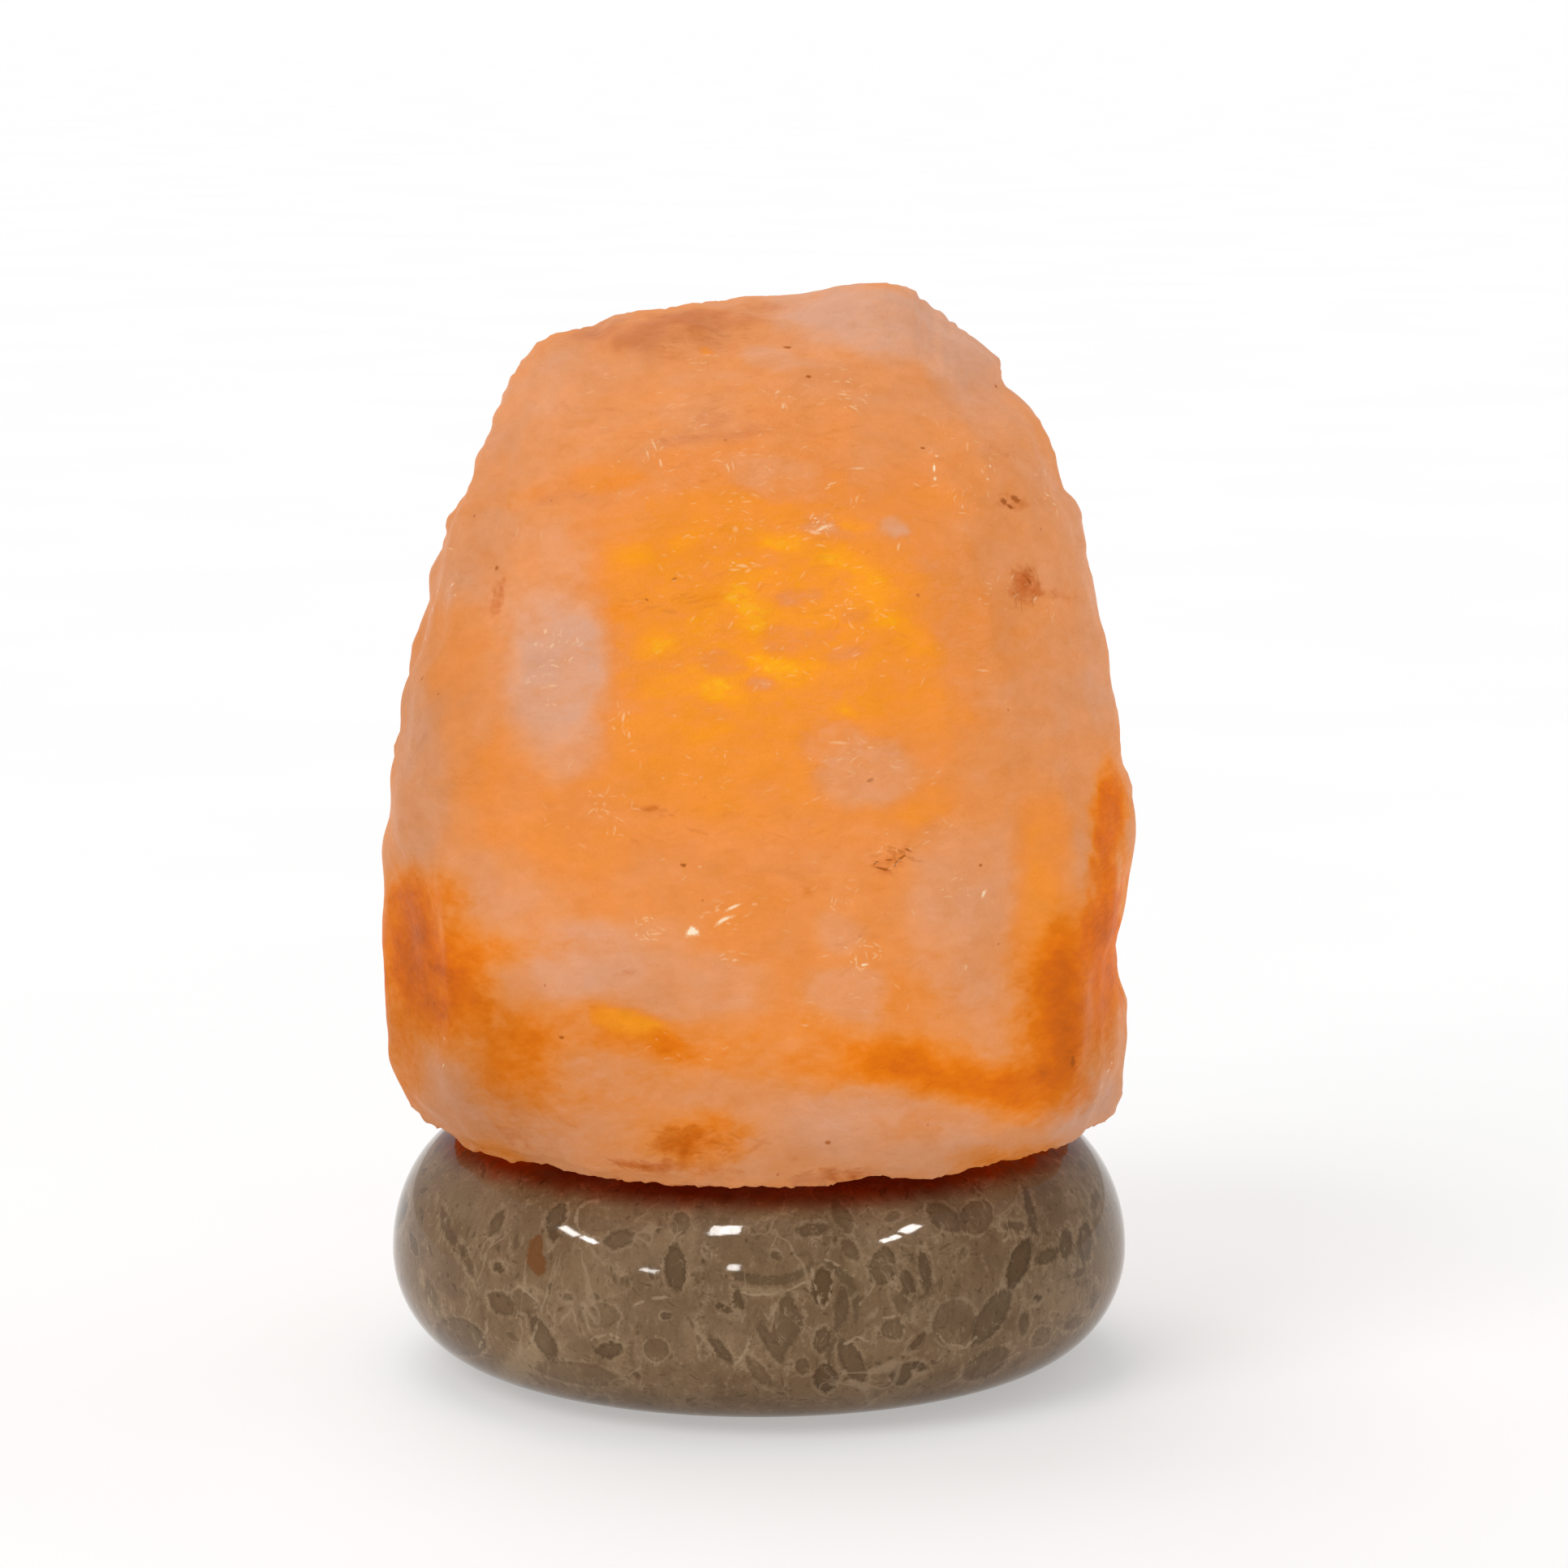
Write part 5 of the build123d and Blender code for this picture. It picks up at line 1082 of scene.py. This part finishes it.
# ------------------------------------------------------------------ the other finishes
def finish_of(name, colour, rough, metallic=0.0, vary=0.10, scale=400, streak=(1, 1, 1), bump=0.15, dirt=None, coat=0.0,
              alpha=None, emission=None, strength=0.0, glass=False):
    N = Nodes(name)
    v = N.stretch(N.obj, streak)
    a = N.noise(v, scale, 4, 0.6)
    b = N.noise(N.obj, scale * 0.12, 3, 0.5)
    base = np.array(colour, float)
    col = N.mix(N.ramp(a, 0.3, 0.7), base * (1 - vary), np.minimum(base * (1 + vary), 1.0))
    if dirt is not None:
        col = N.mix(N.ramp(b, 0.52, 0.74, 0.0, 0.6), col, dirt)
    N.set(N.p.inputs["Base Color"], col)
    N.p.inputs["Metallic"].default_value = metallic
    N.set(N.p.inputs["Roughness"], N.ramp(N.math("ADD", N.math("MULTIPLY", a, 0.5), N.math("MULTIPLY", b, 0.5)), 0.3, 0.7,
                                          max(0.02, rough - 0.07), min(1.0, rough + 0.07)))
    if bump:
        N.set(N.p.inputs["Normal"], N.bump(a, bump, 0.0002))
    if coat:
        N.p.inputs["Coat Weight"].default_value = coat
        N.p.inputs["Coat Roughness"].default_value = 0.06
    if glass:
        N.p.inputs["Transmission Weight"].default_value = 1.0
        N.p.inputs["IOR"].default_value = 1.45
    if emission is not None:
        N.set(N.p.inputs["Emission Color"], N.mix(N.ramp(a, 0.3, 0.7), np.array(emission) * 0.8, emission))
        N.p.inputs["Emission Strength"].default_value = strength
    return N.mat


stone.data.materials.append(stone_material())
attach(stone, "base")
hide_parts("marble_base")

FINISHES = {
    "rubber_feet": finish_of("foot_rubber", (0.045, 0.045, 0.047), 0.72, vary=0.2, scale=900, bump=0.3),
    "silicone_bead": finish_of("silicone", (0.62, 0.50, 0.40), 0.35, vary=0.08, scale=260, bump=0.2),
    "cord_grip": finish_of("grip_plastic", lin(226, 224, 216), 0.42, vary=0.03, scale=700, bump=0.12),
    "cord_grip_screw": finish_of("screw_steel", (0.55, 0.55, 0.54), 0.34, 1.0, 0.12, 900, bump=0.2),
    "entry_nipple": finish_of("zinc_steel", (0.60, 0.60, 0.58), 0.36, 1.0, 0.10, 800, (1, 1, 6), 0.2),
    "lock_nuts": finish_of("nut_steel", (0.58, 0.58, 0.56), 0.33, 1.0, 0.12, 700, bump=0.2, dirt=(0.42, 0.38, 0.30)),
    "spring_clip": finish_of("clip_steel", (0.57, 0.57, 0.58), 0.30, 1.0, 0.10, 500, (1, 9, 1), 0.2, dirt=(0.40, 0.38, 0.34)),
    "holder_cap": finish_of("cap_plastic", lin(232, 230, 222), 0.40, vary=0.03, scale=600, bump=0.10, dirt=lin(206, 200, 186)),
    "holder_sleeve": finish_of("sleeve_plastic", lin(232, 230, 222), 0.38, vary=0.03, scale=600, bump=0.10, dirt=lin(210, 196, 170)),
    "terminal_block": finish_of("porcelain", lin(236, 232, 220), 0.22, vary=0.03, scale=300, bump=0.08, coat=0.5),
    "thread_shell": finish_of("shell_nickel", (0.68, 0.63, 0.55), 0.28, 1.0, 0.10, 700, (1, 1, 5), 0.15),
    "centre_contact": finish_of("contact_brass", (0.74, 0.53, 0.22), 0.30, 1.0, 0.10, 900, bump=0.15),
    "terminal_live": finish_of("brass_live", (0.74, 0.53, 0.22), 0.33, 1.0, 0.12, 700, bump=0.2),
    "terminal_neutral": finish_of("brass_neutral", (0.74, 0.53, 0.22), 0.33, 1.0, 0.12, 700, bump=0.2),
    "terminal_screws": finish_of("terminal_steel", (0.55, 0.55, 0.54), 0.34, 1.0, 0.12, 900, bump=0.2),
    "bulb_tip_contact": finish_of("solder", (0.52, 0.52, 0.54), 0.46, 1.0, 0.15, 900, bump=0.4),
    "bulb_insulator": finish_of("black_glass", (0.010, 0.010, 0.012), 0.14, vary=0.25, scale=500, bump=0.1),
    "bulb_cap": finish_of("cap_nickel", (0.66, 0.64, 0.60), 0.26, 1.0, 0.10, 700, (1, 1, 5), 0.15, dirt=(0.50, 0.44, 0.34)),
    "bulb_glass": finish_of("clear_glass", (0.97, 0.97, 0.95), 0.05, vary=0.02, scale=60, bump=0.02, glass=True),
    "bulb_stem": finish_of("stem_glass", (0.95, 0.96, 0.94), 0.08, vary=0.03, scale=200, bump=0.1, glass=True),
    "lead_wires": finish_of("lead_wire", (0.50, 0.46, 0.40), 0.40, 1.0, 0.12, 900, bump=0.2),
    "filament": finish_of("tungsten", (0.9, 0.7, 0.4), 0.5, 0.0, 0.1, 2500, (1, 1, 1), 0.5, emission=(1.0, 0.62, 0.22), strength=28.0),
    "filament_supports": finish_of("support_wire", (0.42, 0.40, 0.38), 0.42, 1.0, 0.12, 900, bump=0.2),
}
for node, mat in FINISHES.items():
    obj = NODES[node]
    if not obj.material_slots:
        obj.data.materials.append(mat)
    for s in obj.material_slots:
        s.material = mat

# ------------------------------------------------------------------ floor, light
def floor_material():
    N = Nodes("floor")
    a = N.noise(N.obj, 6, 3, 0.5)
    N.set(N.p.inputs["Base Color"], N.mix(N.ramp(a, 0.3, 0.7), (0.60, 0.60, 0.60), (0.62, 0.62, 0.62)))
    N.p.inputs["Roughness"].default_value = 0.9
    N.p.inputs["Specular IOR Level"].default_value = 0.0
    N.p.inputs["Emission Color"].default_value = (1, 1, 1, 1)
    N.p.inputs["Emission Strength"].default_value = 0.40
    return N.mat


bm = bmesh.new()
bmesh.ops.create_grid(bm, x_segments=8, y_segments=8, size=300)
floor_mesh = bpy.data.meshes.new("floor")
bm.to_mesh(floor_mesh)
bm.free()
floor = object_from(floor_mesh, "floor")
floor.location = (0, 0, -0.0002)
floor_mesh.materials.append(floor_material())

world = bpy.data.worlds.new("studio")
scene.world = world
world.use_nodes = True
wt = world.node_tree
back = wt.nodes["Background"]
back.inputs[0].default_value = (1, 1, 1, 1)
back.inputs[1].default_value = 0.55
bright = wt.nodes.new("ShaderNodeBackground")
bright.inputs[0].default_value = (1, 1, 1, 1)
bright.inputs[1].default_value = 1.0
blend = wt.nodes.new("ShaderNodeMixShader")
wt.links.new(wt.nodes.new("ShaderNodeLightPath").outputs["Is Camera Ray"], blend.inputs[0])
wt.links.new(back.outputs[0], blend.inputs[1])
wt.links.new(bright.outputs[0], blend.inputs[2])
wt.links.new(blend.outputs[0], wt.nodes["World Output"].inputs[0])


def area(name, where, at, size, watts, colour=(1, 1, 1), size_y=None):
    data = bpy.data.lights.new(name, "AREA")
    data.energy, data.color, data.size = watts, colour, size
    if size_y:
        data.shape, data.size_y = "RECTANGLE", size_y
    obj = bpy.data.objects.new(name, data)
    scene.collection.objects.link(obj)
    obj.location = where
    obj.rotation_euler = (Vector(at) - Vector(where)).to_track_quat("-Z", "Y").to_euler()
    return obj


def sun(name, towards, strength, angle, colour=(1, 1, 1)):
    data = bpy.data.lights.new(name, "SUN")
    data.energy, data.angle, data.color = strength, math.radians(angle), colour
    obj = bpy.data.objects.new(name, data)
    scene.collection.objects.link(obj)
    obj.rotation_euler = (-Vector(towards)).to_track_quat("-Z", "Y").to_euler()
    obj.visible_glossy = False
    return obj


sun("key", (-0.62, -0.75, 0.80), 0.95, 32)
sun("back", (-0.22, 0.50, 1.0), 0.85, 40)

# small bright panels that mirror in the polished stone: pixel of the highlight, the panel's size and strength
stone_tree = BVHTree.FromObject(stone, bpy.context.evaluated_depsgraph_get())
for k, (px, py, wide, tall, watts, spin) in enumerate([
        (702, 1516, 0.115, 0.040, 1.2, -16), (730, 1527, 0.085, 0.030, 0.9, -18), (885, 1517, 0.050, 0.13, 1.7, 4), (903, 1519, 0.050, 0.12, 1.7, 0),
        (1098, 1526, 0.10, 0.035, 1.1, 18), (1126, 1514, 0.10, 0.05, 1.5, 20), (799, 1564, 0.075, 0.040, 0.7, -10), (907, 1561, 0.045, 0.055, 0.6, 0)]):
    hit, normal = surface_at(stone_tree, px, py)
    d = ray(px, py)
    r = d - 2 * d.dot(normal) * normal
    where = hit + r * 0.75
    lamp = area(f"panel{k}", where, hit, wide, watts, (1, 0.98, 0.95), tall)
    lamp.rotation_euler.rotate_axis("Z", math.radians(spin))
    lamp.visible_diffuse = False
    lamp.visible_transmission = False
